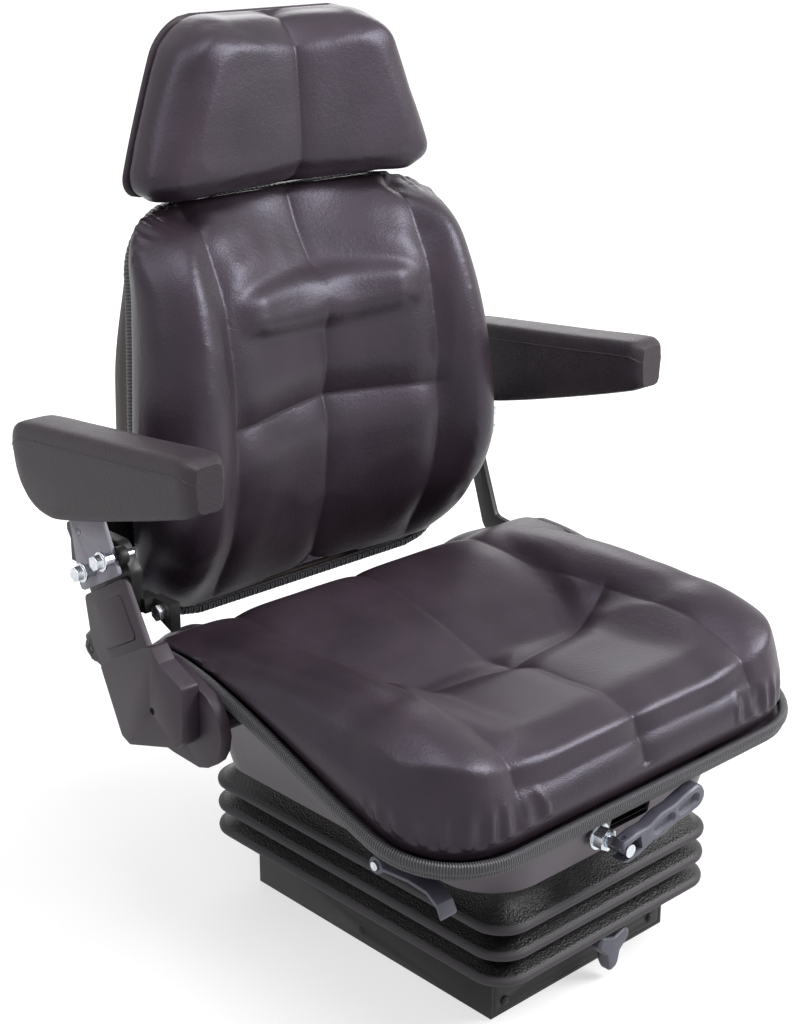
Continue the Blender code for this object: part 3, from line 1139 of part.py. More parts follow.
# Armrest bracket plates with their welded pivot pin
def build_arm_bracket(side, word):
    x0, x1 = ARM_PLATE_X, ARM_PLATE_X + ARM_PLATE_THICKNESS
    if side < 0:
        outline = round_corners([(0.146, 0.3715, 0.004), (0.207, 0.3385, 0.005), (0.219, 0.405, 0.004),
                                 (ARM_PIVOT_Y + 0.014, ARM_PIVOT_Z, 0.009),
                                 (ARM_PIVOT_Y - 0.004, ARM_PIVOT_Z + 0.014, 0.009),
                                 (0.175, 0.432, 0.006)])
    else:
        outline = round_corners([(0.2345, 0.3555, 0.004), (0.2515, 0.3555, 0.004),
                                 (ARM_PIVOT_Y + 0.0125, ARM_PIVOT_Z + 0.011, 0.009),
                                 (ARM_PIVOT_Y - 0.0115, ARM_PIVOT_Z + 0.011, 0.009)])
    plate = prism_x(outline, x0, x1)
    for y, z in ARM_BOLTS[side]:
        plate = cut(plate, rod((0.25, y, z), (0.29, y, z), ARM_BOLT_RADIUS + RUN, 8))
    if side < 0:
        plate = cut(plate, rod((0.25, 0.2055, 0.3955), (0.29, 0.2055, 0.3955), 0.0042, 10))
    pin = rod((PAD_INNER_X + 0.006, ARM_PIVOT_Y, ARM_PIVOT_Z), (PAD_OUTER_X - 0.006, ARM_PIVOT_Y,
              ARM_PIVOT_Z), ARM_PIN_RADIUS, 14)
    add_part("arm_bracket_" + word, mirrored(fuse(plate, pin), side), PAINT_GREY,
             (0, HINGE_Y, HINGE_Z))


# Armrest pads: foam with a skin, deeper at the rear
def build_arm_pad(side, word):
    stations = (PAD_FRONT, 0.0135, 0.022, 0.1, 0.195, 0.225, 0.252, 0.27, PAD_REAR)
    middle_x = (PAD_INNER_X + PAD_OUTER_X) / 2
    half = (PAD_OUTER_X - PAD_INNER_X) / 2
    rings = []
    for y in stations:
        end = min(1.0, (y - PAD_FRONT) / 0.012, (PAD_REAR - y) / 0.02)
        width = half * (0.86 + 0.14 * math.sqrt(max(0.0, 1 - (1 - end) ** 2)))
        top, bottom = smooth_curve(PAD_TOP, y), smooth_curve(PAD_BOTTOM, y)
        outline = round_corners([(-width * 0.9, bottom, 0.007), (width * 0.9, bottom, 0.007),
                                 (width, top - 0.012, 0), (width * 0.9, top, 0.007),
                                 (-width * 0.9, top, 0.007), (-width, top - 0.012, 0)], 2)
        rings.append([(middle_x + x, y, z) for x, z in outline])
    pad = loft(rings)
    slot_play = 0.0035
    slot = box(ARM_PLATE_X - slot_play, ARM_PLATE_X + ARM_PLATE_THICKNESS + slot_play, 0.16, 0.3,
               0.38, ARM_PIVOT_Z + 0.017)
    bore = rod((PAD_INNER_X + 0.005, ARM_PIVOT_Y, ARM_PIVOT_Z),
               (PAD_OUTER_X - 0.005, ARM_PIVOT_Y, ARM_PIVOT_Z), ARM_PIN_RADIUS + RUN, 14)
    add_part("arm_pad_" + word, mirrored(cut(pad, slot, bore), side), FOAM_SKIN,
             (0, ARM_PIVOT_Y, ARM_PIVOT_Z))


def build_recline_knob():
    outline = lobed_outline(6, 0.0185, 0.0045, 0.0185, 10, 2)
    x0 = HINGE_PLATE_X + 0.005 - GAP
    rings = []
    for x, scale in ((x0, 0.8), (x0 - 0.002, 1.0), (x0 - 0.014, 1.0), (x0 - 0.018, 0.82)):
        rings.append([(-x, KNOB_PLACE[0] + a * scale, KNOB_PLACE[1] + b * scale) for a, b in outline])
    stem = rod((-x0 + 0.001, *KNOB_PLACE), (-COVER_X + GAP, *KNOB_PLACE), 0.004, 10)
    add_part("recline_knob", fuse(loft(rings), stem), PLASTIC, (0, *KNOB_PLACE))


# Backrest
def back_rim_y(z):
    return BACK_RIM_Y + (z - 0.3) * BACK_TILT


def back_half_width(z, inset=0.0):
    """Half-width of the shell's rim at a height, less an inset all round."""
    low, high = BACK_BOTTOM + inset, BACK_TOP - inset
    share = smoothstep((z - BACK_WIDE_Z) / (BACK_TOP - BACK_WIDE_Z))
    half = BACK_WIDE + (BACK_NARROW - BACK_WIDE) * share - inset
    return corner_half_width(z, low, high, half, BACK_RADIUS, BACK_RADIUS)


def even_steps(low, high, count):
    """Heights from low to high, closer together near both ends."""
    return [low + (high - low) * (k / count - 0.045 * math.sin(2 * math.pi * k / count) * 2)
            for k in range(count + 1)]


def back_plan(inset, rows=12):
    """Rows of (x, z) points over the backrest's outline, less an inset all round."""
    low, high = BACK_BOTTOM + inset, BACK_TOP - inset
    return outline_rows(lambda z: back_half_width(z, inset), even_steps(low, high, rows),
                        [0, 0.06, 0.11])


def back_edge(inset):
    return grid_edge(back_plan(inset))


def back_shell_depth(z):
    return 0.030 + 0.042 * smoothstep((BACK_TOP - z) / 0.16) * smoothstep((z - BACK_BOTTOM + 0.08) / 0.12)


def back_shell_rings(extra=0.0):
    """Outer face of the back shell from its rim to the rear, moved out by an extra distance."""
    rings = [[(x, back_rim_y(z), z) for x, z in back_edge(-extra)]]
    for inset, share in ((0.006, 0.45), (0.022, 0.9)):
        rings.append([(x, back_rim_y(z) + share * back_shell_depth(z) + extra, z)
                      for x, z in back_edge(inset - extra)])
    return rings


def build_back_pan():
    rear = [[(x, back_rim_y(z) + back_shell_depth(z), z) for x, z in row] for row in back_plan(0.05)]
    rim_in = [(x, back_rim_y(z), z) for x, z in back_edge(PAN_WALL)]
    floor = [(x, back_rim_y(z) + BACK_SHELL_FLOOR, z) for x, z in back_edge(0.012)]
    shape = pad_shape(rear, back_shell_rings()[::-1] + [rim_in, floor])
    for side in (-1, 1):
        shape = cut(shape, post_shape(side, POST_RADIUS + RUN, 0.004))
    add_part("back_pan", shape, PAINT_BLACK, (0, HINGE_Y, HINGE_Z), 50)


def post_shape(side, radius, deeper=0.0):
    foot_z = BACK_TOP - POST_DEPTH - deeper
    head_z = HEAD_BOTTOM + 0.05
    middle = back_rim_y(BACK_TOP) + 0.0215
    foot = (side * POST_X, middle + (foot_z - BACK_TOP) * BACK_TILT, foot_z)
    head = (side * POST_X, middle + (head_z - BACK_TOP) * BACK_TILT, head_z)
    return rod(foot, head, radius, 12)


def build_back_trim():
    plan = back_edge(-GAP)
    path = [Vector((x, back_rim_y(z), z)) for x, z in plan]
    moved = grown(plan, 1.0)
    outwards = []
    for (x, z), (mx, mz) in zip(plan, moved):
        outwards.append(Vector((mx - x, BACK_TILT * (mz - z), mz - z)).normalized())
    upwards = [Vector((0, 1, -BACK_TILT)).normalized()] * len(plan)
    add_part("back_edge_trim", trim_ring(path, outwards, upwards, TRIM_WIDTH, TRIM_HEIGHT - 0.002),
             RUBBER, (0, HINGE_Y, HINGE_Z), 50)


def back_surface(x, z):
    """Depth y of the cushion's front at a place."""
    across = abs(x)
    middle = smooth_curve(BACK_MIDDLE, z)
    seam = smooth_curve(BACK_SEAM, z)
    bolster = smooth_curve(BACK_BOLSTER, z)
    y = middle + (seam - middle) * smoothstep(across / (BACK_SEAM_X + 0.01)) ** 1.3
    y += (bolster - seam) * smoothstep((across - BACK_SEAM_X) / 0.04)
    y += 0.022 * max(0.0, (across - (back_half_width(z) - 0.013)) / 0.03) ** 2
    y += 0.005 * groove(across - BACK_SEAM_X, 0.006) * smoothstep((z - 0.28) / 0.04)
    y += 0.0055 * groove(x, 0.008) * (1 - groove(z - WING_Z, 0.018))
    crease_z = BACK_CREASE_Z - 0.006 * across / BACK_SEAM_X
    y += 0.007 * groove(z - crease_z, 0.009) * smoothstep((0.14 - across) / 0.03)
    reach = smoothstep((WING_HALF_LENGTH + 0.012 - across) / 0.03)
    y -= 0.011 * reach * math.exp(-((z - WING_Z) / WING_HALF_HEIGHT) ** 4)
    return min(y, back_rim_y(z) - TRIM_HEIGHT / 2 - 0.0025)


def build_back_cushion():
    low, high = BACK_BOTTOM - BACK_FOOT_OVERHANG, BACK_TOP + BACK_OVERHANG
    plan = outline_rows(lambda z: back_half_width(z, -BACK_OVERHANG) + BACK_BULGE,
                        [low + step for step in [0] + BACK_ROWS] + [high], BACK_STATIONS)
    grid = [[(x, back_surface(x, z), z) for x, z in row] for row in plan]
    edge = grid_edge(plan)
    fronts = [point[1] for point in grid_edge(grid)]

    def ring(distance, share):
        """Ring between the front edge and the trim."""
        return [(x, front + (back_rim_y(z) - TRIM_HEIGHT / 2 - 0.0012 - front) * share, z)
                for (x, z), front in zip(grown(edge, distance), fronts)]

    inwards = -BACK_BULGE - BACK_OVERHANG - BACK_TUCK
    turn = [(x, back_rim_y(z) - TRIM_HEIGHT / 2 - 0.001, z) for x, z in grown(edge, inwards)]
    middle = (low + high) / 2
    foot = []
    for x, z in edge:
        foot_z = middle + (z - middle) * BACK_FOOT_HEIGHT
        foot.append((x * BACK_FOOT_WIDTH, back_rim_y(foot_z) + BACK_SHELL_FLOOR - 1.1 * GAP, foot_z))
    rings = [ring(0.003, 0.2), ring(0.0035, 0.5), ring(-0.010, 1.0), turn, foot]
    add_part("back_cushion", pad_shape(grid, rings), VINYL, (0, HINGE_Y, HINGE_Z), 60)


# Headrest
def head_y(z):
    return HEAD_RIM_Y + (z - HEAD_BOTTOM) * BACK_TILT


def head_half_width(z, inset=0.0):
    low, high = HEAD_BOTTOM + inset, HEAD_TOP - inset
    share = max(0.0, (z - HEAD_BOTTOM) / (HEAD_TOP - HEAD_BOTTOM))
    half = HEAD_BOTTOM_WIDE + (HEAD_TOP_WIDE - HEAD_BOTTOM_WIDE) * share ** 1.15 - inset
    return corner_half_width(z, low, high, half, 0.022, 0.034)


def head_plan(inset, rows, stations):
    low, high = HEAD_BOTTOM + inset, HEAD_TOP - inset
    return outline_rows(lambda z: head_half_width(z, inset), even_steps(low, high, rows), stations)


def head_front(x, z):
    """Depth y of the headrest cushion's front at a place."""
    edge = abs(x) / head_half_width(z, 0.004)
    crown = HEAD_FRONT_Y + (z - 0.72) * 0.055 + 0.028 * smoothstep((z - 0.79) / 0.05) ** 2
    crown += 0.010 * smoothstep((0.69 - z) / 0.025)
    crown += 0.016 * max(0.0, (edge - 0.86) / 0.14) ** 2 - 0.0095 * smoothstep(edge / 0.85)
    return crown + 0.0045 * groove(x, 0.006)


def build_headrest():
    plan = head_plan(0.004, 9, [0, 0.007, 0.04, 0.08])
    grid = [[(x, head_front(x, z), z) for x, z in row] for row in plan]
    edge = grid_edge(plan)
    fronts = [point[1] for point in grid_edge(grid)]
    rings = []
    for share in (0.3, 0.85):
        rings.append([(x, front + (head_y(z) - GAP - front) * share, z)
                      for (x, z), front in zip(grown(edge, 0.004), fronts)])
    rings.append([(x, head_y(z) - GAP, z) for x, z in edge])
    add_part("headrest_cushion", pad_shape(grid, rings), VINYL, sharp=60)

    rear_plan = head_plan(0.05, 8, [0, 0.05])
    rear = [[(x, head_y(z) + HEAD_SHELL_DEPTH, z) for x, z in row] for row in rear_plan]
    rings = []
    for inset, depth in ((0.030, HEAD_SHELL_DEPTH - 0.006), (0.013, HEAD_SHELL_DEPTH - 0.021),
                         (0.002, 0.004), (0.006, 0.0)):
        rings.append([(x, head_y(z) + depth, z) for x, z in grid_edge(head_plan(inset, 8, [0, 0.05]))])
    shell = pad_shape(rear, rings)
    for side in (-1, 1):
        shell = cut(shell, post_shape(side, POST_RADIUS + RUN))
    add_part("headrest_shell", shell, PLASTIC, sharp=50)
    for side, word in ((-1, "left"), (1, "right")):
        add_part("headrest_post_" + word, post_shape(side, POST_RADIUS), ZINC)


# Slide lever under the front left corner
def build_slide_lever():
    half, thickness = LEVER_HALF_WIDTH, LEVER_THICKNESS
    top = [(y, LEVER_PIN_Z + z) for y, z in LEVER_PROFILE]
    bottom = [(y + 0.4 * thickness, LEVER_PIN_Z + z - thickness) for y, z in LEVER_PROFILE]
    arm = prism_x(top + bottom[::-1], LEVER_X - half, LEVER_X + half)
    hub = rod((LEVER_X - half, LEVER_PIN_Y, LEVER_PIN_Z), (LEVER_X + half, LEVER_PIN_Y, LEVER_PIN_Z),
              LEVER_HUB_RADIUS, 12)
    bore = rod((LEVER_X - 0.02, LEVER_PIN_Y, LEVER_PIN_Z), (LEVER_X + 0.02, LEVER_PIN_Y, LEVER_PIN_Z),
               LEVER_PIN_RADIUS + RUN, 10)
    add_part("slide_lever", cut(fuse(arm, hub), bore), PLASTIC_GREY, (LEVER_X, LEVER_PIN_Y, LEVER_PIN_Z))
    pin = rod((LEVER_X - half - 0.002, LEVER_PIN_Y, LEVER_PIN_Z),
              (-LEVER_PIN_END, LEVER_PIN_Y, LEVER_PIN_Z), LEVER_PIN_RADIUS, 10)
    add_part("slide_lever_pin", cut(pin, pan_envelope()), ZINC)


clear_scene()
build_base()
build_height_knob()
build_scissors()
build_upper_frame()
build_bellows()
both_sides(build_spring)
build_damper()
build_tension_block()
build_crank()
both_sides(build_rail)
build_seat_pan()
build_pan_trim()
build_seat_cushion()
both_sides(build_hinge_bracket)
build_hinge_cover()
build_recliner_arm()
build_plain_arm()
both_sides(build_arm_bolts)
both_sides(build_arm_bracket)
both_sides(build_arm_pad)
build_recline_knob()
build_back_pan()
build_back_trim()
build_back_cushion()
build_headrest()
build_slide_lever()
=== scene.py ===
import json
import math
import numpy as np

import bmesh
import bpy
from mathutils import Matrix, Vector, noise

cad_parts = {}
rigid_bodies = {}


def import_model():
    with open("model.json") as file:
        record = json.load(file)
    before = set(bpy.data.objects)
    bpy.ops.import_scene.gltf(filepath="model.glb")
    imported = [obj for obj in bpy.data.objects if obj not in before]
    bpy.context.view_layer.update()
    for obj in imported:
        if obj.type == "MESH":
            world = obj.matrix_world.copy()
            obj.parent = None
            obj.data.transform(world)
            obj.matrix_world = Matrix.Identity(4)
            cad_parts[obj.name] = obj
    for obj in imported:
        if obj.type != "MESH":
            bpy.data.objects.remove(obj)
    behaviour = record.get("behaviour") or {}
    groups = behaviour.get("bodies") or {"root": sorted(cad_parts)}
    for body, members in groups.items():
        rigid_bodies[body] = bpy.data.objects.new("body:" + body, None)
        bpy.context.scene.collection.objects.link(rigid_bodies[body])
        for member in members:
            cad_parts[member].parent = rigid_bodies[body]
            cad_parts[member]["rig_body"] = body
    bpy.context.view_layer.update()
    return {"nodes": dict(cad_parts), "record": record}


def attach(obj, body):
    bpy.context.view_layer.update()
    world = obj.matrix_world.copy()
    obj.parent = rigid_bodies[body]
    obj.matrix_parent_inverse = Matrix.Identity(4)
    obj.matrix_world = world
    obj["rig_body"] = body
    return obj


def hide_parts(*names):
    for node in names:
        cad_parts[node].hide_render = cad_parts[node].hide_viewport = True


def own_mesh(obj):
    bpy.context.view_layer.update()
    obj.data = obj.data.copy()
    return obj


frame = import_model()

# Places and sizes shared with the solids, in metres
GAP = 0.0003
PAN_HALF_WIDTH = 0.2414
PAN_FRONT = -0.2262
PAN_REAR = 0.2
PAN_FLANGE = 0.012
PAN_WALL = 0.0028
SKIRT_BOTTOM = 0.1405
PAN_FLOOR_TOP = 0.1808
TRIM_WIDTH = 0.008
TRIM_HEIGHT = 0.015
SPINDLE = Vector((-0.025, 0, 0.163))
SEAM_X = 0.15
CREASE_Y = -0.066
BACK_BOTTOM = 0.283
BACK_TOP = 0.6575
BACK_WIDE_Z = 0.37
BACK_WIDE = 0.188
BACK_NARROW = 0.168
BACK_RADIUS = 0.055
BACK_TILT = 0.09         # metres back for each metre up
BACK_OVERHANG = 0.006
BACK_FOOT_OVERHANG = 0.001
BACK_BULGE = 0.016
BACK_SEAM_X = 0.125
BACK_CREASE_Z = 0.472
WING_Z = 0.568
WING_HALF_LENGTH = 0.105
HEAD_BOTTOM = 0.669
HEAD_TOP = 0.828
HEAD_RIM_Y = 0.252
HEAD_FRONT_Y = 0.214
HEAD_SHELL_DEPTH = 0.038
HEAD_WIDE = 0.179
HEAD_NARROW = 0.117
BASE_TOP = 0.046
FRAME_UNDERSIDE = 0.1365
PAD_INNER_X = 0.2518
PAD_OUTER_X = 0.294
PAD_FRONT = 0.01
PAD_REAR = 0.279
LOWEST_RIB_Z = 0.0586
RIB_PITCH = 0.0251
SPINDLE_HOLE_RADIUS = 0.0072
NECK_PLAN = (0.172, -0.197, 0.187)      # half-width, front and rear
SKIRT_PLAN = (0.15, -0.19, 0.178)


# Camera and light
def add_camera():
    """Camera at the photograph's place: yaw and pitch in degrees, lens for a 36 mm sensor."""
    lens = bpy.data.cameras.new("studio_camera")
    lens.lens = 66.1
    lens.sensor_width = 36
    holder = bpy.data.objects.new("studio_camera", lens)
    holder.location = (-1.1293, -1.1274, 0.9719)
    holder.rotation_euler = (math.radians(90 - 19.67), 0, math.radians(-43.03))
    bpy.context.scene.collection.objects.link(holder)
    bpy.context.scene.camera = holder


def add_lamp(name, place, aim, size, power):
    """Soft square lamp at a place, turned to a point."""
    lamp = bpy.data.lights.new(name, "AREA")
    lamp.shape = "RECTANGLE"
    lamp.size, lamp.size_y = size
    lamp.energy = power
    holder = bpy.data.objects.new(name, lamp)
    holder.location = place
    holder.rotation_euler = (Vector(aim) - Vector(place)).to_track_quat("-Z", "Y").to_euler()
    bpy.context.scene.collection.objects.link(holder)


add_camera()
add_lamp("softbox_above", (-0.3, -0.6, 2.4), (0, 0, 0.3), (1.4, 1.1), 31)
add_lamp("softbox_left", (-1.8, 0.1, 2.1), (0, 0, 0.3), (1.0, 1.4), 20)
add_lamp("softbox_front", (1.5, -1.35, 1.6), (0, 0, 0.3), (1.1, 0.9), 68)
add_lamp("softbox_behind", (1.3, 1.6, 1.4), (0, 0.1, 0.4), (1.3, 1.3), 15)


# Finishes
def linear(text):
    """Colour written as sRGB hex, as linear values."""
    values = [int(text[i:i + 2], 16) / 255 for i in (1, 3, 5)]
    return [v / 12.92 if v <= 0.04045 else ((v + 0.055) / 1.055) ** 2.4 for v in values] + [1]


def add_node(finish, kind, settings=None, links=None):
    """Add a node to a finish, set its values and link its inputs."""
    made = finish.node_tree.nodes.new(kind)
    for name, value in (settings or {}).items():
        if isinstance(name, int) or name in made.inputs:
            made.inputs[name].default_value = value
        else:
            setattr(made, name, value)
    for name, source in (links or {}).items():
        finish.node_tree.links.new(source, made.inputs[name])
    return made


def start_finish(name, colour, roughness, metallic=0.0, specular=0.5):
    """New finish with a plain shader. Gives the finish, its shader and the place on the object."""
    finish = bpy.data.materials.new(name)
    finish.use_nodes = True
    shader = finish.node_tree.nodes["Principled BSDF"]
    shader.inputs["Base Color"].default_value = linear(colour)
    shader.inputs["Roughness"].default_value = roughness
    shader.inputs["Metallic"].default_value = metallic
    if metallic == 0:
        shader.inputs["Specular IOR Level"].default_value = specular
    place = add_node(finish, "ShaderNodeTexCoord").outputs["Object"]
    return finish, shader, place


def tint(finish, shader, amount, dark, light):
    """Vary the colour between two hex values by a factor from 0 to 1."""
    ramp = add_node(finish, "ShaderNodeValToRGB", links={"Fac": amount})
    ramp.color_ramp.elements[0].color = linear(dark)
    ramp.color_ramp.elements[1].color = linear(light)
    ramp.color_ramp.elements[0].position = 0.3
    ramp.color_ramp.elements[1].position = 0.7
    finish.node_tree.links.new(ramp.outputs["Color"], shader.inputs["Base Color"])


def gloss(finish, shader, amount, low, high):
    """Vary the roughness between two values by a factor from 0 to 1."""
    spread = add_node(finish, "ShaderNodeMapRange", {"To Min": low, "To Max": high},
                      {"Value": amount})
    finish.node_tree.links.new(spread.outputs["Result"], shader.inputs["Roughness"])


def relief(finish, shader, heights):
    """Stack bumps on a finish: pairs of a height output and its depth in metres."""
    normal = None
    for height, depth in heights:
        links = {"Height": height}
        if normal:
            links["Normal"] = normal
        bump = add_node(finish, "ShaderNodeBump", {"Distance": depth, "Strength": 1.0}, links)
        normal = bump.outputs["Normal"]
    finish.node_tree.links.new(normal, shader.inputs["Normal"])


def cloud(finish, place, size, detail=3.0):
    """Soft noise whose patches are about this many metres across."""
    return add_node(finish, "ShaderNodeTexNoise", {"Scale": 1 / size, "Detail": detail},
                    {"Vector": place}).outputs["Fac"]


def cells(finish, place, size):
    """Soft round cells, each about this many metres across."""
    return add_node(finish, "ShaderNodeTexVoronoi", {"feature": "SMOOTH_F1", "Scale": 1 / size},
                    {"Vector": place}).outputs["Distance"]


def patchy(finish, shader, place, size, colours, polish):
    """Uneven tone and polish, in patches of about this many metres."""
    patches = cloud(finish, place, size)
    tint(finish, shader, patches, *colours)
    gloss(finish, shader, patches, *polish)


def make_vinyl():
    """Soft black vinyl: leather grain of 1 mm pebbles, satin sheen and a faint uneven polish."""
    finish, shader, place = start_finish("soft_black_vinyl", "#2a2128", 0.38, specular=0.38)
    shader.inputs["Specular Tint"].default_value = linear("#e0dff6")
    patchy(finish, shader, place, 0.06, ("#251d23", "#30262d"), (0.34, 0.44))
    pebbles = cells(finish, place, 0.0011)
    creasing = cloud(finish, place, 0.004, 5.0)
    relief(finish, shader, [(creasing, 0.00022), (pebbles, 0.00012)])
    return finish


WAVE_PERIOD = 0.314      # of the wave texture at a scale of 1, in metres


def make_ribbed_rubber(name, pitch, depth):
    """Black edge trim: ribs cross it at an even pitch, measured along its own path."""
    finish, shader, place = start_finish(name, "#232224", 0.42, specular=0.4)
    along = add_node(finish, "ShaderNodeUVMap", {"uv_map": "path"}).outputs["UV"]
    wave = add_node(finish, "ShaderNodeTexWave", {"Scale": WAVE_PERIOD / pitch,
                                                  "bands_direction": "X"},
                    {"Vector": along}).outputs["Fac"]
    # Lighter on the rib crests, darker in the grooves: painted highlight on each rib and painted
    # shade between the ribs
    tint(finish, shader, wave, "#161517", "#49474d")
    relief(finish, shader, [(wave, depth), (cloud(finish, place, 0.0006), 0.00005)])
    return finish


def make_bellows_rubber():
    """Moulded bellows: coarse shiny grain on the shelves, smooth matt lips."""
    finish, shader, place = start_finish("bellows_rubber", "#232124", 0.5, specular=0.32)
    lip = add_node(finish, "ShaderNodeAttribute", {"attribute_name": "lip"}).outputs["Fac"]
    grit = cloud(finish, place, 0.0017, 4.0)
    shelf = add_node(finish, "ShaderNodeMath", {"operation": "SUBTRACT", 0: 1.0},
                     {1: lip}).outputs[0]
    rough_grit = add_node(finish, "ShaderNodeMath", {"operation": "MULTIPLY"},
                          {0: grit, 1: shelf}).outputs[0]
    gloss(finish, shader, lip, 0.34, 0.58)
    # Lighter on the rib lips, darker on the shelves and in the folds: painted highlight on the lips
    # and painted shade in the recesses
    tint(finish, shader, lip, "#171618", "#383539")
    relief(finish, shader, [(rough_grit, 0.0011), (cloud(finish, place, 0.0005), 0.00005)])
    return finish


def make_moulding(name, colour, light, roughness, specular=0.45):
    """Moulded plastic: spark grain of half a millimetre and a slightly uneven tone."""
    finish, shader, place = start_finish(name, colour, roughness, specular=specular)
    patchy(finish, shader, place, 0.03, (colour, light), (roughness - 0.05, roughness + 0.05))
    relief(finish, shader, [(cloud(finish, place, 0.0005, 2.0), 0.00005)])
    return finish


def make_paint(name, colour, light, roughness):
    """Powder coat on steel: a slight orange peel of 2 mm and a few dull patches."""
    finish, shader, place = start_finish(name, colour, roughness, specular=0.28)
    patchy(finish, shader, place, 0.02, (colour, light), (roughness - 0.06, roughness + 0.08))
    relief(finish, shader, [(cloud(finish, place, 0.002), 0.00012),
                            (cloud(finish, place, 0.0004), 0.00003)])
    return finish


def make_metal(name, colour, light, roughness):
    """Plated or drawn steel: bright, with a faint cloudy plating."""
    finish, shader, place = start_finish(name, colour, roughness, metallic=1.0)
    patchy(finish, shader, place, 0.004, (colour, light), (roughness - 0.05, roughness + 0.1))
    relief(finish, shader, [(cloud(finish, place, 0.0008), 0.00003)])
    return finish


def make_foam_skin():
    """Armrest foam skin: dense fine pores with a dry, matt surface."""
    finish, shader, place = start_finish("armrest_foam_skin", "#2a2328", 0.52, specular=0.36)
    patchy(finish, shader, place, 0.02, ("#241d23", "#2d252c"), (0.44, 0.56))
    pores = cells(finish, place, 0.0013)
    relief(finish, shader, [(pores, 0.00035), (cloud(finish, place, 0.0008), 0.00015)])
    return finish


VINYL = make_vinyl()
PAN_TRIM = make_ribbed_rubber("pan_trim_rubber", 0.0022, 0.0006)
BACK_TRIM = make_ribbed_rubber("back_trim_rubber", 0.0032, 0.0006)
BELLOWS = make_bellows_rubber()
# Pan finish: the black plastic made a lighter violet grey than the covers, a painted reflection for
# the sheen on the pan's sides and front
PAN = make_moulding("pan_plastic_painted_reflection", "#443b45", "#4f454f", 0.4, specular=0.5)
COVER = make_moulding("cover_plastic", "#2b232b", "#342b34", 0.45, specular=0.33)
# Back shell finish: the black plastic given a brown tone, a painted brown reflection
SHELL = make_moulding("shell_plastic_painted_brown_reflection", "#241c18", "#2c231e", 0.5, specular=0.15)
HANDLE = make_moulding("handle_plastic", "#4b4b57", "#575764", 0.42)
BLACK_PAINT = make_paint("black_powder_coat", "#191819", "#211f20", 0.42)
GREY_PAINT = make_paint("blue_grey_powder_coat", "#8a8692", "#9995a1", 0.36)
ZINC = make_metal("bright_zinc", "#b9bfc8", "#d4d7da", 0.24)
STEEL = make_metal("drawn_steel", "#77777a", "#929294", 0.36)
FOAM = make_foam_skin()


# Shared shaping
def smoothstep(t):
    t = max(0.0, min(1.0, t))
    return t * t * (3 - 2 * t)


def crowded(share, amount=0.09):
    """Share of a length from 0 to 1, moved so that even steps crowd at both ends."""
    return share - amount * math.sin(2 * math.pi * share)


def groove(distance, width):
    """Depth factor of a soft moulded groove at a distance from its line."""
    return math.exp(-(distance / width) ** 2)


def crisp(distance, width):
    """Depth factor of a pinched line, sharp at its bottom."""
    return math.exp(-abs(distance) / width)


def smooth_curve(points, x):
    """Height at x on a smooth curve through (x, height) points."""
    for i in range(len(points) - 1):
        (x0, h0), (x1, h1) = points[i], points[i + 1]
        if x <= x1 or i == len(points) - 2:
            before = points[max(i - 1, 0)]
            after = points[min(i + 2, len(points) - 1)]
            slope0 = (h1 - before[1]) / max(x1 - before[0], 1e-9)
            slope1 = (after[1] - h0) / max(after[0] - x0, 1e-9)
            t = max(0.0, min(1.0, (x - x0) / (x1 - x0)))
            span = x1 - x0
            return (h0 * (1 + 2 * t) * (1 - t) ** 2 + slope0 * span * t * (1 - t) ** 2
                    + h1 * t * t * (3 - 2 * t) + slope1 * span * t * t * (t - 1))


def arc(centre, radius, start, end, steps):
    """Points of an arc, in degrees, as pairs."""
    points = []
    for i in range(steps + 1):
        angle = math.radians(start + (end - start) * i / steps)
        points.append((centre[0] + radius * math.cos(angle), centre[1] + radius * math.sin(angle)))
    return points


def round_rectangle(half_width, front, rear, front_radius, rear_radius, corner_steps=12,
                    side_steps=24):
    """Counter-clockwise (x, y) points of a rectangle with round corners."""
    corners = ((half_width - front_radius, front + front_radius, front_radius, -90),
               (half_width - rear_radius, rear - rear_radius, rear_radius, 0),
               (rear_radius - half_width, rear - rear_radius, rear_radius, 90),
               (front_radius - half_width, front + front_radius, front_radius, 180))
    arcs = [arc((x, y), radius, angle, angle + 90, corner_steps) for x, y, radius, angle in corners]
    points = []
    for i, corner in enumerate(arcs):
        points += corner
        (x0, y0), (x1, y1) = corner[-1], arcs[(i + 1) % 4][0]
        for k in range(1, side_steps):
            points.append((x0 + (x1 - x0) * k / side_steps, y0 + (y1 - y0) * k / side_steps))
    return points


def skinned(rings, closed=False):
    """Carry a closed outline through a list of rings of equal count. Open skins are capped."""
    shape = bmesh.new()
    step = shape.verts.layers.int.new("step")
    points = [shape.verts.new(point) for point in rings[0]]
    for i, point in enumerate(points):
        point[step] = i
    first = [shape.edges.new((points[i - 1], points[i])) for i in range(len(points))]
    rim = first
    for ring in rings[1:]:
        made = bmesh.ops.extrude_edge_only(shape, edges=rim)["geom"]
        for item in made:
            if isinstance(item, bmesh.types.BMVert):
                item.co = ring[item[step]]
        rim = [item for item in made if isinstance(item, bmesh.types.BMEdge) and item.is_boundary]
    if closed:
        bmesh.ops.bridge_loops(shape, edges=first + rim)
    else:
        bmesh.ops.holes_fill(shape, edges=first, sides=0)
        bmesh.ops.holes_fill(shape, edges=rim, sides=0)
    bmesh.ops.recalc_face_normals(shape, faces=shape.faces)
    return shape


def rounded(shape, radius, segments=2):
    """Round every edge that is sharper than 30 degrees."""
    sharp = [edge for edge in shape.edges
             if edge.is_manifold and edge.calc_face_angle(0) > math.radians(30)]
    bmesh.ops.bevel(shape, geom=sharp, offset=radius, segments=segments, profile=0.5,
                    affect="EDGES", material=-1, clamp_overlap=True)
    return shape


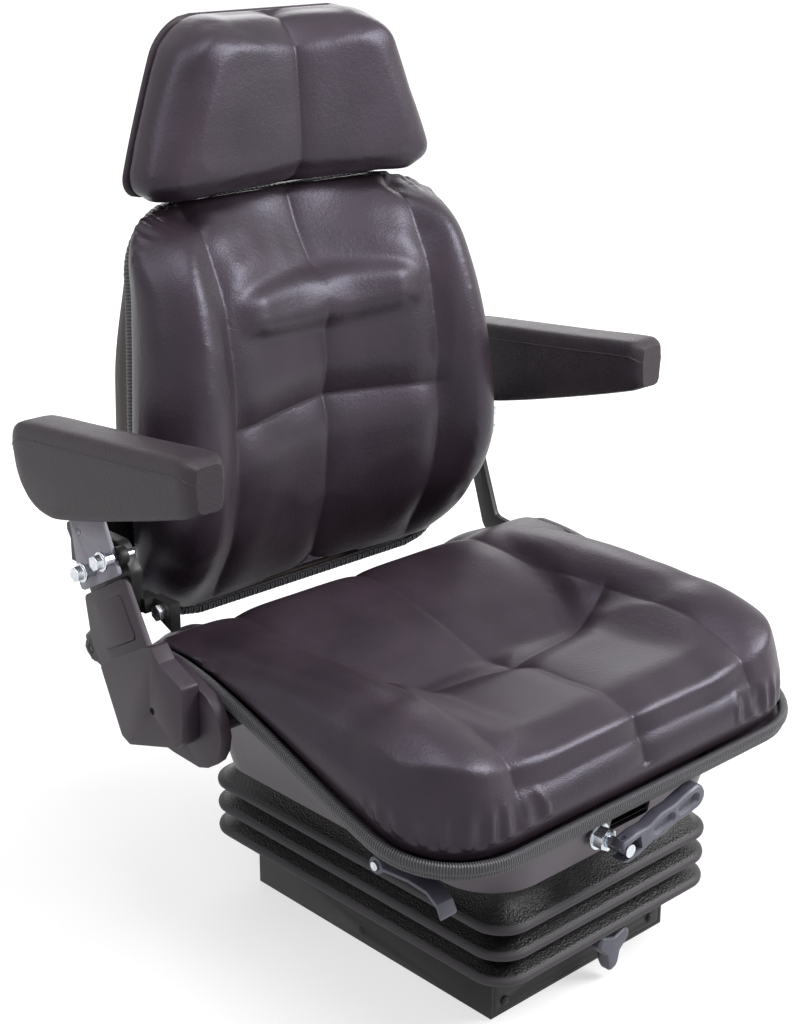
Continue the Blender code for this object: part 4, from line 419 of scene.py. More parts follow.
def shade(mesh, sharp):
    """Shade a mesh smooth, with a crease at each edge sharper than an angle in degrees."""
    mesh.shade_smooth()
    mesh.set_sharp_from_angle(angle=math.radians(sharp))


def to_object(name, shape, sharp=40):
    mesh = bpy.data.meshes.new(name)
    shape.to_mesh(mesh)
    shape.free()
    shade(mesh, sharp)
    made = bpy.data.objects.new(name, mesh)
    bpy.context.scene.collection.objects.link(made)
    return made


def dress(made, finish, nodes, slot_name):
    """Give a piece its finish, let it ride with its node's body and stand for its nodes."""
    made.data.materials.clear()
    made.data.materials.append(finish)
    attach(made, frame["nodes"][nodes[0]]["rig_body"])
    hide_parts(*nodes)


def baked(holder):
    """The mesh of an object with its modifiers applied."""
    evaluated = holder.evaluated_get(bpy.context.evaluated_depsgraph_get())
    return bpy.data.meshes.new_from_object(evaluated)


def block(middle, size):
    """Box with its sides along the axes."""
    shape = bmesh.new()
    bmesh.ops.create_cube(shape, size=1, matrix=Matrix.Translation(middle)
                          @ Matrix.Diagonal((*size, 1)))
    return shape


def cut_away(made, tool, sharp):
    """Cut a closed tool shape out of an object and shade it again."""
    cutter = to_object("cutter", tool)
    step = made.modifiers.new("cut", "BOOLEAN")
    step.solver = "EXACT"
    step.object = cutter
    made.data = baked(made)
    made.modifiers.clear()
    bpy.data.objects.remove(cutter, do_unlink=True)
    shade(made.data, sharp)


def refined(node, finish, slot_name, radius):
    """A CAD node's own shape with its facets merged and its edges rounded."""
    shape = bmesh.new()
    shape.from_mesh(frame["nodes"][node].data)
    bmesh.ops.remove_doubles(shape, verts=shape.verts, dist=2e-6)
    bmesh.ops.dissolve_limit(shape, angle_limit=math.radians(1.0), verts=shape.verts,
                             edges=shape.edges)
    dress(to_object(node + "_finished", rounded(shape, radius)), finish, [node], slot_name)


def on_side(shape, side):
    """Put a shape made for the right side onto the side asked for."""
    if side < 0:
        bmesh.ops.scale(shape, vec=(-1, 1, 1), verts=shape.verts)
        bmesh.ops.reverse_faces(shape, faces=shape.faces)
    return shape


# Padded pieces
SWELL_FRAMES = 20        # length of the cloth simulation
SHIFT_PASSES = 24        # evens out the simulated swelling, as on a tight moulded cover
SMOOTH_PASSES = 2        # takes the steps of the voxels out of the shape


def relax(name, shape, voxel, cap):
    """Swell a closed pad by a short cloth simulation. cap gives how far a point may move."""
    holder = to_object(name, shape)
    remesh = holder.modifiers.new("remesh", "REMESH")
    remesh.mode = "VOXEL"
    remesh.voxel_size = voxel
    holder.data = baked(holder)
    holder.modifiers.clear()
    starts = [point.co.copy() for point in holder.data.vertices]
    moved = starts
    held = holder.vertex_groups.new(name="held")
    held.add([i for i, start in enumerate(starts) if cap(start) <= 0], 1.0, "REPLACE")
    cloth = holder.modifiers.new("swell", "CLOTH")
    for setting, value in (("quality", 4), ("use_pressure", True),
                           ("uniform_pressure_force", 4), ("tension_stiffness", 8),
                           ("compression_stiffness", 8), ("vertex_group_mass", "held")):
        setattr(cloth.settings, setting, value)
    cloth.settings.effector_weights.gravity = 0
    cloth.collision_settings.use_collision = False
    cloth.point_cache.frame_end = SWELL_FRAMES
    for step in range(1, SWELL_FRAMES + 1):
        bpy.context.scene.frame_set(step)
    moved = [point.co.copy() for point in baked(holder).vertices]
    bpy.context.scene.frame_set(1)
    holder.modifiers.clear()
    shape = bmesh.new()
    shape.from_mesh(holder.data)
    bpy.data.objects.remove(holder, do_unlink=True)
    shape.verts.ensure_lookup_table()
    shifts = np.array([end - start for start, end in zip(starts, moved)])
    ends = np.array([[point.index for point in edge.verts] for edge in shape.edges])
    both = np.concatenate([ends, ends[:, ::-1]])
    linked = np.bincount(both[:, 0])[:, None]
    for _ in range(SHIFT_PASSES):
        total = np.zeros_like(shifts)
        np.add.at(total, both[:, 0], shifts[both[:, 1]])
        shifts = 0.5 * shifts + 0.5 * total / linked
    for point, start, shift in zip(shape.verts, starts, shifts):
        most = max(0.0, cap(start))
        shift = Vector(shift)
        if shift.length > most:
            shift = shift.normalized() * most
        point.co = start + shift
    for _ in range(SMOOTH_PASSES):
        bmesh.ops.smooth_vert(shape, verts=shape.verts, factor=0.5, use_axis_x=True,
                              use_axis_y=True, use_axis_z=True)
    finer = to_object(name, shape)
    smooth = finer.modifiers.new("smooth", "SUBSURF")
    smooth.levels = smooth.render_levels = 1
    finer.data = baked(finer)
    finer.modifiers.clear()
    return finer


def carve(holder, change):
    """Move each point of a pad by the vector that change gives for its place and normal."""
    normals = [point.normal.copy() for point in holder.data.vertices]
    for point, normal in zip(holder.data.vertices, normals):
        point.co += change(point.co.copy(), normal)
    holder.data.update()


def closed_pad(half_width_at, low, high, columns, rows, places):
    """Pad between two ends, as wide as half_width_at says. The first place sets its grid from
    (across, along), each further one sets the rim extruded for it, and the last rim is closed."""
    shape = bmesh.new()
    bmesh.ops.create_grid(shape, x_segments=columns, y_segments=rows, size=1.0)
    start = shape.verts.layers.float_vector.new("start")
    for point in shape.verts:
        along = low + (high - low) * crowded((point.co.y + 1) / 2)
        across = point.co.x * half_width_at(along)
        point[start] = (across, along, 0)
        point.co = places[0](across, along)
    rim = [edge for edge in shape.edges if edge.is_boundary]
    for place in places[1:]:
        made = bmesh.ops.extrude_edge_only(shape, edges=rim)["geom"]
        for item in made:
            if isinstance(item, bmesh.types.BMVert):
                item.co = place(item[start].x, item[start].y)
        rim = [item for item in made if isinstance(item, bmesh.types.BMEdge) and item.is_boundary]
    bmesh.ops.holes_fill(shape, edges=rim, sides=0)
    bmesh.ops.recalc_face_normals(shape, faces=shape.faces)
    return shape


def corner_half_width(along, low, high, half, low_radius, high_radius):
    """Half-width, at a place along it, of an outline with round corners."""
    if along < low + low_radius:
        reach = min(low_radius, low + low_radius - along)
        return half - low_radius + math.sqrt(low_radius ** 2 - reach ** 2)
    if along > high - high_radius:
        reach = min(high_radius, along - high + high_radius)
        return half - high_radius + math.sqrt(high_radius ** 2 - reach ** 2)
    return half


def outwards(across, along, half_width_at, low, high, radius):
    """Direction away from a rounded outline at a point on it."""
    core_x = max(0.0, half_width_at((low + high) / 2) - radius)
    near = Vector((max(-core_x, min(core_x, across)),
                   max(low + radius, min(high - radius, along))))
    away = Vector((across, along)) - near
    return away.normalized() if away.length > 1e-6 else Vector((0, 1))


# Seat pan, its edge trim and its cushion
def rim_height(y):
    rise = smoothstep((y + 0.235) / 0.355)
    drop = smoothstep((y - 0.125) / 0.085)
    return 0.208 + 0.087 * rise - 0.058 * drop


def neck_height(y):
    return SKIRT_BOTTOM + 0.5 * (rim_height(y) - PAN_FLANGE - SKIRT_BOTTOM) + 0.012


def build_pan():
    def ring(half, front, rear, front_radius, rear_radius, height):
        plan = round_rectangle(half, front, rear, front_radius, rear_radius)
        return [(x, y, height(y)) for x, y in plan]

    def outer(inset, height, front_radius=0.078, rear_radius=0.062):
        return ring(PAN_HALF_WIDTH - inset, PAN_FRONT + inset, PAN_REAR - inset,
                    front_radius - inset, rear_radius - inset, height)

    def inside(plan):
        half, front, rear = plan
        return half - PAN_WALL, front + PAN_WALL, rear - PAN_WALL

    neck = ring(*NECK_PLAN, 0.066, 0.05, neck_height)
    flange = outer(0.003, lambda y: rim_height(y) - PAN_FLANGE)
    lip = [Vector(a).lerp(Vector(b), 0.12) - Vector((0, 0, 0.0012)) for a, b in zip(flange, neck)]
    skirt = ring(*SKIRT_PLAN, 0.055, 0.04, lambda y: SKIRT_BOTTOM)
    waist = [Vector(a).lerp(Vector(b), 0.2) for a, b in zip(neck, skirt)]
    hem = [Vector(a).lerp(Vector(b), 0.84) for a, b in zip(neck, skirt)]
    inner_neck = ring(*inside(NECK_PLAN), 0.063, 0.047,
                      lambda y: neck_height(y) + 0.9 * PAN_WALL)
    skirt_in = ring(*inside(SKIRT_PLAN), 0.052, 0.037, lambda y: SKIRT_BOTTOM)

    def level(height, inset):
        """Ring of the skirt wall at a height, moved inwards."""
        points = []
        for a, b in zip(skirt, neck):
            share = min(1.0, (height - a[2]) / (b[2] - a[2]))
            x, y = a[0] + (b[0] - a[0]) * share, a[1] + (b[1] - a[1]) * share
            scale = 1 - inset / math.hypot(x, y)
            points.append((x * scale, y * scale, height))
        return points

    rings = [level(PAN_FLOOR_TOP, 0.0035), inner_neck, outer(PAN_WALL, rim_height),
             outer(0.0006, rim_height), outer(0, lambda y: rim_height(y) - 0.0006),
             outer(0.0005, lambda y: rim_height(y) - PAN_FLANGE + 0.003),
             flange, lip, waist, hem, skirt, skirt_in, level(0.178, 0.0035)]
    pan = to_object("pan_finished", skinned(rings), 32)
    hole = bmesh.new()
    bmesh.ops.create_cone(hole, cap_ends=True, segments=24, radius1=SPINDLE_HOLE_RADIUS,
                          radius2=SPINDLE_HOLE_RADIUS, depth=0.06,
                          matrix=Matrix.Translation((SPINDLE.x, -0.2, SPINDLE.z))
                          @ Matrix.Rotation(math.pi / 2, 4, "X"))
    cut_away(pan, hole, 32)
    window = block((0.02, -0.2, 0.166), (0.052, 0.1, 0.016))
    cut_away(pan, rounded(window, 0.003, 3), 32)
    dress(pan, PAN, ["seat_pan"], "black_plastic")


def trim_sweep(name, path, away, up, height, section, finish, nodes, swell=None):
    """Edge trim carried round a closed path, with its length along the path kept for the ribs."""
    count = len(path)
    lengths = [0.0]
    for i in range(count):
        lengths.append(lengths[-1] + (path[(i + 1) % count] - path[i]).length)
    rings = []
    for across, lift in section:
        ring = []
        for i, point in enumerate(path):
            grow = 1.0 if swell is None else swell(lengths[i], lengths[-1])
            ring.append(point + away[i] * (TRIM_WIDTH * (0.5 + (across - 0.5) * grow))
                        + up * (height * lift * grow))
        rings.append(ring)
    shape = skinned(rings, closed=True)
    step = shape.verts.layers.int["step"]
    layer = shape.loops.layers.uv.new("path")
    for face in shape.faces:
        around = [corner.vert[step] for corner in face.loops]
        wraps = max(around) - min(around) > count / 2
        for corner in face.loops:
            i = corner.vert[step]
            distance = lengths[count] if wraps and i == 0 else lengths[i]
            corner[layer].uv = (distance, 0)
    dress(to_object(name, shape, 60), finish, nodes, "black_rubber")


def even_path(points, pitch):
    """Points at an even pitch along a closed path."""
    count = len(points)
    total = sum((points[(i + 1) % count] - points[i]).length for i in range(count))
    steps = round(total / pitch)
    spots, travelled, i = [], 0.0, 0
    here, after = points[0], points[1]
    for k in range(steps):
        target = total * k / steps
        while travelled + (after - here).length < target:
            travelled += (after - here).length
            i += 1
            here, after = points[i % count], points[(i + 1) % count]
        spots.append(here.lerp(after, (target - travelled) / (after - here).length))
    return spots


def sideways(path, lift):
    """Directions across a closed path, away from its middle, square to lift."""
    middle = sum(path, Vector()) / len(path)
    found = []
    for i in range(len(path)):
        along = path[(i + 1) % len(path)] - path[i - 1]
        across = along.cross(lift).normalized()
        if across.dot(path[i] - middle) < 0:
            across = -across
        found.append(across)
    return found


def build_pan_trim():
    """Bead with fine ribs above a smooth band."""
    plan = round_rectangle(PAN_HALF_WIDTH + GAP, PAN_FRONT - GAP, PAN_REAR + GAP, 0.0783, 0.0623)
    path = even_path([Vector((x, y, rim_height(y))) for x, y in plan], 0.004)
    up = Vector((0, 0, 1))
    away = [Vector((d.x, d.y, 0)).normalized() for d in sideways(path, up)]
    section = [(0, -0.5), (0.35, -0.52), (0.6, -0.46), (0.7, -0.3), (0.72, -0.16), (0.86, -0.1),
               (1.0, 0.02), (1.04, 0.2), (0.96, 0.38), (0.78, 0.49), (0.5, 0.53), (0.22, 0.5),
               (0.02, 0.44)]
    trim_sweep("pan_trim_finished", path, away, up, TRIM_HEIGHT, section, PAN_TRIM,
               ["pan_edge_trim"])


# Sewn lines and folds of the covers
def seam(distance, pinch, pinch_width, dip, dip_width):
    """Depth of a sewn line: a pinched bottom in a soft dip."""
    return pinch * crisp(distance, pinch_width) + dip * groove(distance, dip_width)


def puffs(distance):
    """Fullness on both sides of a cross crease."""
    return 0.0012 * (groove(distance - 0.03, 0.018) + groove(distance + 0.03, 0.018))


def ripple(a, b, level):
    """Slight waviness of a stretched cover."""
    return 0.0004 * noise.noise(Vector((a * 26, b * 26, level)))


def facing(towards):
    """Share of its lines that a point shows, from how far its normal turns to the front."""
    return smoothstep(towards / 0.3 + 0.4)


SEAT_MIDDLE = [(-0.24, 0.266), (-0.222, 0.280), (-0.19, 0.2835), (-0.149, 0.281), (-0.065, 0.277),
               (0.012, 0.268), (0.094, 0.275), (0.15, 0.274), (0.182, 0.266), (0.2, 0.258)]
SEAT_BOLSTER = [(-0.24, 0.254), (-0.226, 0.274), (-0.205, 0.293), (-0.158, 0.311), (-0.11, 0.3175),
                (-0.05, 0.3205), (0.014, 0.3197), (0.075, 0.3155), (0.137, 0.304), (0.175, 0.289),
                (0.2, 0.274)]


def seat_top(x, y):
    """Height of the seat's soft form, without its seams."""
    across = abs(x)
    middle = smooth_curve(SEAT_MIDDLE, y)
    crest = smooth_curve(SEAT_BOLSTER, y)
    z = middle + (crest - middle) * smoothstep((across - 0.095) / 0.095)
    z -= 0.012 * max(0.0, (across - 0.196) / 0.032) ** 2
    rear = smoothstep((y + 0.06) / 0.03)
    z -= rear * (0.004 + 0.007 * smoothstep((y - 0.1) / 0.08)) * groove(x, 0.018)
    return max(z, rim_height(y) + TRIM_HEIGHT / 2 + 0.005 + 0.006 * smoothstep((y - 0.12) / 0.05))


def seat_carving(point, normal):
    """Sewn lines of the seat: side seams, swept cross crease, centre crease, and front gathers."""
    if normal.z < -0.1 or point.z < 0.2:
        return Vector()
    x, y = point.x, point.y
    across = abs(x)
    from_crease = y - (CREASE_Y + 0.024 * across / SEAM_X)
    inside = smoothstep((0.162 - across) / 0.03)
    rear = smoothstep((y + 0.07) / 0.02)
    line = seam(across - SEAM_X, 0.0026, 0.0075, 0.002, 0.018) * smoothstep((0.19 - y) / 0.03)
    line += seam(from_crease, 0.0042, 0.009, 0.0034, 0.024) * inside
    line += rear * 0.0042 * crisp(x, 0.009)
    line += (1 - rear) * seam(x, 0.003, 0.0075, 0.0014, 0.02)
    gather = 0.0
    if y < -0.13 and across > 0.12:
        corner = math.atan2(-(y + 0.148), across - 0.162)
        low = smoothstep((0.262 - point.z) / 0.022)
        gather = 0.0016 * low * math.sin(corner * 26 + 0.6 * math.sin(corner * 9))
    relief_here = puffs(from_crease) * inside - line
    return normal * (relief_here * facing(normal.z) + ripple(x, y, 3.1) + gather)


def build_seat_cushion():
    inset = 0.009
    low, high = PAN_FRONT + inset, PAN_REAR - inset - 0.004
    half = PAN_HALF_WIDTH - inset
    shrink = 0.0015

    def half_width(y):
        return corner_half_width(y, low, high, half, 0.07, 0.05)

    def top(x, y):
        return Vector((x, y, seat_top(x, y) - shrink))

    def ring(distance, height):
        def place(x, y):
            away = outwards(x, y, half_width, low, high, 0.06) * (distance - shrink)
            return Vector((x + away.x, y + away.y, height(y, seat_top(x, y) - shrink)))
        return place

    def trim_top(y):
        return rim_height(y) + TRIM_HEIGHT / 2

    places = [top]
    for distance, share in ((0.0035, 0.12), (0.0065, 0.3), (0.0095, 0.5), (0.0108, 0.68),
                            (0.0105, 0.85)):
        places.append(ring(distance, lambda y, z, s=share: z - s * (z - trim_top(y))))
    places += [ring(0.0085, lambda y, z: trim_top(y) + 0.0015),
               ring(0.0045, lambda y, z: rim_height(y) + 0.002),
               lambda x, y: Vector((x * 0.7, y * 0.62, neck_height(y * 0.62) + 0.02)),
               lambda x, y: Vector((x * 0.62, y * 0.62, PAN_FLOOR_TOP + 0.002))]
    shape = closed_pad(half_width, low, high, 56, 56, places)

    def cap(point):
        return 0.006 * smoothstep((point.z - rim_height(point.y) - 0.012) / 0.03)

    cushion = relax("seat_cover_finished", shape, 0.0042, cap)
    carve(cushion, seat_carving)
    dress(cushion, VINYL, ["seat_cushion"], "black_vinyl")


# Backrest shell, trim and cushion
def back_rim_y(z):
    return 0.222 + (z - 0.3) * BACK_TILT


def back_half_width(z, inset=0.0):
    low, high = BACK_BOTTOM + inset, BACK_TOP - inset
    share = smoothstep((z - BACK_WIDE_Z) / (BACK_TOP - BACK_WIDE_Z))
    half = BACK_WIDE + (BACK_NARROW - BACK_WIDE) * share - inset
    return corner_half_width(z, low, high, half, BACK_RADIUS, BACK_RADIUS)


def back_depth(z):
    """Depth of the backrest's shell behind its rim."""
    fullness = smoothstep((BACK_TOP - z) / 0.16) * smoothstep((z - BACK_BOTTOM + 0.08) / 0.12)
    return 0.030 + 0.042 * fullness


def outline_points(half_width_at, low, high, rows=48, columns=24):
    """Closed outline (across, along) of a shape given by its half-widths."""
    steps = [low + (high - low) * crowded(k / rows) for k in range(rows + 1)]
    bottom, top = half_width_at(low), half_width_at(high)
    points = [(bottom * (2 * k / columns - 1), low) for k in range(columns)]
    points += [(half_width_at(z), z) for z in steps[:-1]]
    points += [(top * (1 - 2 * k / columns), high) for k in range(columns)]
    points += [(-half_width_at(z), z) for z in steps[:0:-1]]
    return points


def closing_rings(last, middle_z, shrinks, surface_y):
    """Smaller copies of a shell's last ring towards its middle, laid on the surface."""
    rings = []
    for shrink in shrinks:
        spots = [(point.x * shrink, middle_z + (point.z - middle_z) * shrink) for point in last]
        rings.append([Vector((x, surface_y(z), z)) for x, z in spots])
    return rings


def build_back_shell():
    def ring(inset, depth):
        plan = outline_points(lambda z: back_half_width(z, inset), BACK_BOTTOM + inset,
                              BACK_TOP - inset)
        return [Vector((x, back_rim_y(z) + depth(z), z)) for x, z in plan]

    rings = [ring(inset, lambda z, d=depth: d) for inset, depth in
             ((0.014, 0.012), (0.012, 0.010), (PAN_WALL, 0.0), (0.0006, 0.0), (0.0, 0.0006))]
    for inset, share in ((0.003, 0.2), (0.006, 0.45), (0.011, 0.68), (0.022, 0.88), (0.034, 0.96),
                         (0.05, 1.0)):
        rings.append(ring(inset, lambda z, s=share: s * back_depth(z)))
    rings += closing_rings(rings[-1], (BACK_BOTTOM + BACK_TOP) / 2, (0.7, 0.4, 0.1),
                           lambda z: back_rim_y(z) + back_depth(z))
    dress(to_object("back_shell_finished", skinned(rings), 50), SHELL, ["back_pan"],
          "black_plastic")


def build_back_trim():
    """Coarse ribbed trim: coils at 5.5 mm."""
    plan = outline_points(lambda z: back_half_width(z, -GAP), BACK_BOTTOM - GAP, BACK_TOP + GAP)
    path = even_path([Vector((x, back_rim_y(z), z)) for x, z in plan], 0.00092)
    up = Vector((0, 1, -BACK_TILT)).normalized()
    away = sideways(path, up)
    section = [(0, -0.5), (0.4, -0.52), (0.75, -0.44), (0.96, -0.2), (1.0, 0.05), (0.94, 0.3),
               (0.72, 0.46), (0.4, 0.52), (0.0, 0.44)]

    def swell(distance, total):
        turns = round(total / 0.0055)
        return 0.93 + 0.09 * abs(math.sin(math.pi * turns * distance / total))

    trim_sweep("back_trim_finished", path, away, up, TRIM_HEIGHT - 0.002, section, BACK_TRIM,
               ["back_edge_trim"], swell)


BACK_MIDDLE = [(0.268, 0.2205), (0.29, 0.2095), (0.321, 0.197), (0.37, 0.188), (0.418, 0.183),
               (0.469, 0.1825), (0.541, 0.185), (0.5865, 0.197), (0.622, 0.211), (0.665, 0.228)]
BACK_SEAM = [(0.268, 0.2205), (0.285, 0.210), (0.32, 0.188), (0.36, 0.168), (0.40, 0.161),
             (0.48, 0.160), (0.52, 0.163), (0.56, 0.1695), (0.60, 0.177), (0.64, 0.190),
             (0.665, 0.214)]
BACK_BOLSTER = [(0.268, 0.2215), (0.285, 0.210), (0.32, 0.181), (0.36, 0.153), (0.40, 0.138),
                (0.45, 0.135), (0.52, 0.141), (0.58, 0.155), (0.62, 0.171), (0.645, 0.188),
                (0.665, 0.216)]


def back_front(x, z):
    """Depth y of the backrest's soft form, without its seams."""
    across = abs(x)
    middle = smooth_curve(BACK_MIDDLE, z)
    seam = smooth_curve(BACK_SEAM, z)
    bolster = smooth_curve(BACK_BOLSTER, z)
    y = middle + (seam - middle) * smoothstep(across / (BACK_SEAM_X + 0.01)) ** 1.3
    y += (bolster - seam) * smoothstep((across - BACK_SEAM_X) / 0.04)
    y += 0.022 * max(0.0, (across - (back_half_width(z) - 0.013)) / 0.03) ** 2
    return min(y, back_rim_y(z) - TRIM_HEIGHT / 2 - 0.0025)


def back_carving(point, normal):
    """Sewn lines of the backrest: side seams, cross crease, centre line, and the raised wing."""
    if normal.y > 0.1:
        return Vector()
    x, z = point.x, point.z
    across = abs(x)
    from_crease = z - (BACK_CREASE_Z - 0.006 * across / BACK_SEAM_X)
    inside = smoothstep((0.138 - across) / 0.03)
    line = seam(across - BACK_SEAM_X, 0.003, 0.0075, 0.002, 0.018) * smoothstep((z - 0.28) / 0.04)
    line += seam(x, 0.0036, 0.008, 0.0018, 0.02) * (1 - groove(z - WING_Z, 0.022))
    line += seam(from_crease, 0.004, 0.009, 0.0034, 0.024) * inside
    wing_end = WING_HALF_LENGTH + 0.012
    taper = math.sqrt(1 - min(1.0, across / wing_end) ** 2)
    wing = math.exp(-((z - WING_Z) / (0.01 + 0.014 * taper)) ** 4)
    raised = 0.009 * smoothstep((wing_end - across) / 0.035) * wing
    gather = 0.0
    if across > 0.15 and z > 0.6:
        corner = math.atan2(z - 0.6, across - 0.13)
        gather = 0.0012 * smoothstep((point.y - 0.21) / 0.02) * math.sin(corner * 28)
    relief_here = puffs(from_crease) * inside - line + raised
    return normal * (relief_here * facing(-normal.y) + ripple(x, z, 7.7) + gather)


def build_back_cushion():
    shrink = 0.0015
    low, high = BACK_BOTTOM - BACK_FOOT_OVERHANG, BACK_TOP + BACK_OVERHANG - shrink

    def half_width(z):
        return back_half_width(z, -BACK_OVERHANG) + BACK_BULGE - shrink

    def front(x, z):
        return Vector((x, back_front(x, z) + shrink, z))

    def limit(z):
        return back_rim_y(z) - TRIM_HEIGHT / 2 - 0.0015

    def ring(across, along, share):
        def place(x, z):
            away = outwards(x, z, half_width, low, high, 0.07)
            y = back_front(x, z) + shrink
            return Vector((x + away.x * across, y + (limit(z) - y) * share, z + away.y * along))
        return place

    middle = (low + high) / 2

    def foot(x, z):
        foot_z = middle + (z - middle) * 0.872
        return Vector((x * 0.8, back_rim_y(foot_z) + 0.0105, foot_z))

    tuck = -BACK_BULGE - BACK_OVERHANG - 0.004
    rings = ((0.002, 0.002, 0.12), (0.0035, 0.004, 0.3), (0.0035, 0.005, 0.5),
             (-0.001, 0.005, 0.75), (-0.010, 0.004, 1.0), (tuck, tuck, 1.02))
    places = [front] + [ring(*values) for values in rings] + [foot]
    shape = closed_pad(half_width, low, high, 52, 56, places)

    def cap(point):
        return 0.006 * smoothstep((back_rim_y(point.z) - 0.012 - point.y) / 0.02)

    cushion = relax("back_cover_finished", shape, 0.0042, cap)
    carve(cushion, back_carving)
    dress(cushion, VINYL, ["back_cushion"], "black_vinyl")


# Headrest
def head_y(z):
    return HEAD_RIM_Y + (z - HEAD_BOTTOM) * BACK_TILT


def head_half_width(z, inset=0.0):
    low, high = HEAD_BOTTOM + inset, HEAD_TOP - inset
    share = max(0.0, (z - HEAD_BOTTOM) / (HEAD_TOP - HEAD_BOTTOM))
    half = HEAD_WIDE + (HEAD_NARROW - HEAD_WIDE) * share ** 1.15 - inset
    return corner_half_width(z, low, high, half, 0.022, 0.034)


def head_front(x, z):
    edge = abs(x) / head_half_width(z, 0.004)
    crown = HEAD_FRONT_Y + (z - 0.72) * 0.055 + 0.028 * smoothstep((z - 0.79) / 0.05) ** 2
    crown += 0.010 * smoothstep((0.69 - z) / 0.025)
    return crown + 0.016 * max(0.0, (edge - 0.86) / 0.14) ** 2 - 0.0095 * smoothstep(edge / 0.85)


def build_headrest():
    inset, shrink = 0.005, 0.0012
    low, high = HEAD_BOTTOM + 0.001, HEAD_TOP - inset

    def half_width(z):
        return head_half_width(z, inset)

    def ring(distance, share):
        def place(x, z):
            away = outwards(x, z, half_width, low, high, 0.028) * distance
            y = head_front(x, z) + shrink
            return Vector((x + away.x, y + (head_y(z) - 0.001 - y) * share, z + away.y))
        return place

    rings = ((0.0025, 0.15), (0.0038, 0.35), (0.004, 0.6), (0.0035, 0.85), (0.001, 1.0))
    places = [lambda x, z: Vector((x, head_front(x, z) + shrink, z))]
    places += [ring(*values) for values in rings]
    shape = closed_pad(half_width, low, high, 48, 32, places)

    def cap(point):
        return 0.004 * smoothstep((head_y(point.z) - 0.004 - point.y) / 0.012)

    def carving(point, normal):
        if normal.y > 0.1:
            return Vector()
        line = seam(point.x, 0.0032, 0.007, 0.0014, 0.018)
        return normal * (ripple(point.x, point.z, 1.3) - line * facing(-normal.y))

    cushion = relax("headrest_cover_finished", shape, 0.0038, cap)
    carve(cushion, carving)
    dress(cushion, VINYL, ["headrest_cushion"], "black_vinyl")

    def shell_ring(inset, depth):
        plan = outline_points(lambda z: head_half_width(z, inset), HEAD_BOTTOM + inset,
                              HEAD_TOP - inset, 32, 24)
        return [Vector((x, head_y(z) + depth, z)) for x, z in plan]

    rings = [shell_ring(inset, depth) for inset, depth in
             ((0.02, 0.0006), (0.005, 0.0006), (0.0026, 0.002), (0.002, 0.004), (0.006, 0.009),
              (0.013, 0.017), (0.021, 0.025), (0.030, 0.032), (0.038, 0.0355),
              (0.055, HEAD_SHELL_DEPTH))]
    rings += closing_rings(rings[-1], (HEAD_BOTTOM + HEAD_TOP) / 2, (0.6, 0.2),
                           lambda z: head_y(z) + HEAD_SHELL_DEPTH)
    dress(to_object("headrest_shell_finished", skinned(rings), 40), COVER, ["headrest_shell"],
          "black_plastic")


# Bellows
# Sections of a rib and of the fold above it: inset, height over the rib's middle, and lip or not
RIB_SECTION = [(0.004, -0.0042, 0), (0.0018, -0.0038, 1), (0.0004, -0.0024, 1), (0, 0, 1),
               (0.0004, 0.0022, 1), (0.0018, 0.0036, 1), (0.0045, 0.0046, 0)]
FOLD_SECTION = [(0.0215, 0.0145, 0), (0.0245, 0.0168, 0), (0.0215, 0.0178, 0)]


def build_bellows():
    """Three moulded ribs: rounded lips, sloping shelves above and below."""
    def plan(inset):
        return round_rectangle(0.1444 - inset, -0.1984 + 1.15 * inset, 0.2062 - 1.15 * inset,
                               0.032 - 0.4 * inset, 0.032 - 0.4 * inset, 10, 16)

    def collar(half, front, rear, radius):
        return round_rectangle(half, front, rear, radius, radius, 10, 16)

    base = collar(0.1184, -0.1626, 0.1626, 0.006)
    base_in = collar(0.1159, -0.1601, 0.1601, 0.001)
    top = collar(0.1208, -0.1678, 0.1778, 0.006)
    top_in = collar(0.1183, -0.1653, 0.1753, 0.001)
    outline = [(base, BASE_TOP - 0.0065, 0), (base, BASE_TOP + 0.001, 0)]
    for k in range(3):
        z = LOWEST_RIB_Z + k * RIB_PITCH
        section = RIB_SECTION + (FOLD_SECTION if k < 2 else [])
        outline += [(plan(inset), z + rise, lip) for inset, rise, lip in section]
    outline += [(top, FRAME_UNDERSIDE - 0.0065, 0), (top, FRAME_UNDERSIDE + 0.001, 0)]
    wall = [(top_in, FRAME_UNDERSIDE + 0.001, 0), (top_in, FRAME_UNDERSIDE - 0.011, 0)]
    for k in reversed(range(3)):
        z = LOWEST_RIB_Z + k * RIB_PITCH
        wall.append((plan(0.0045), z, 0))
        if k > 0:
            wall.append((plan(0.0265), z - 0.0084, 0))
    wall += [(base_in, BASE_TOP + 0.0035, 0), (base_in, BASE_TOP - 0.0065, 0)]
    rings = outline + wall
    shape = skinned([[(x, y, z) for x, y in points] for points, z, _ in rings], closed=True)
    bellows = to_object("bellows_finished", shape, 60)
    marks = bellows.data.attributes.new("lip", "FLOAT", "POINT")
    count = len(rings[0][0])
    for i in range(len(bellows.data.vertices)):
        marks.data[i].value = rings[i // count][2]
    dress(bellows, BELLOWS, ["bellows"], "black_rubber")
    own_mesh(bellows)


# Armrests
PAD_TOP = [(0.01, 0.5085), (0.022, 0.5105), (0.1, 0.5035), (0.195, 0.4955), (0.262, 0.489),
           (0.279, 0.482)]
PAD_BOTTOM = [(0.01, 0.465), (0.022, 0.4595), (0.1, 0.437), (0.195, 0.4125), (0.225, 0.4085),
              (0.255, 0.418), (0.279, 0.448)]
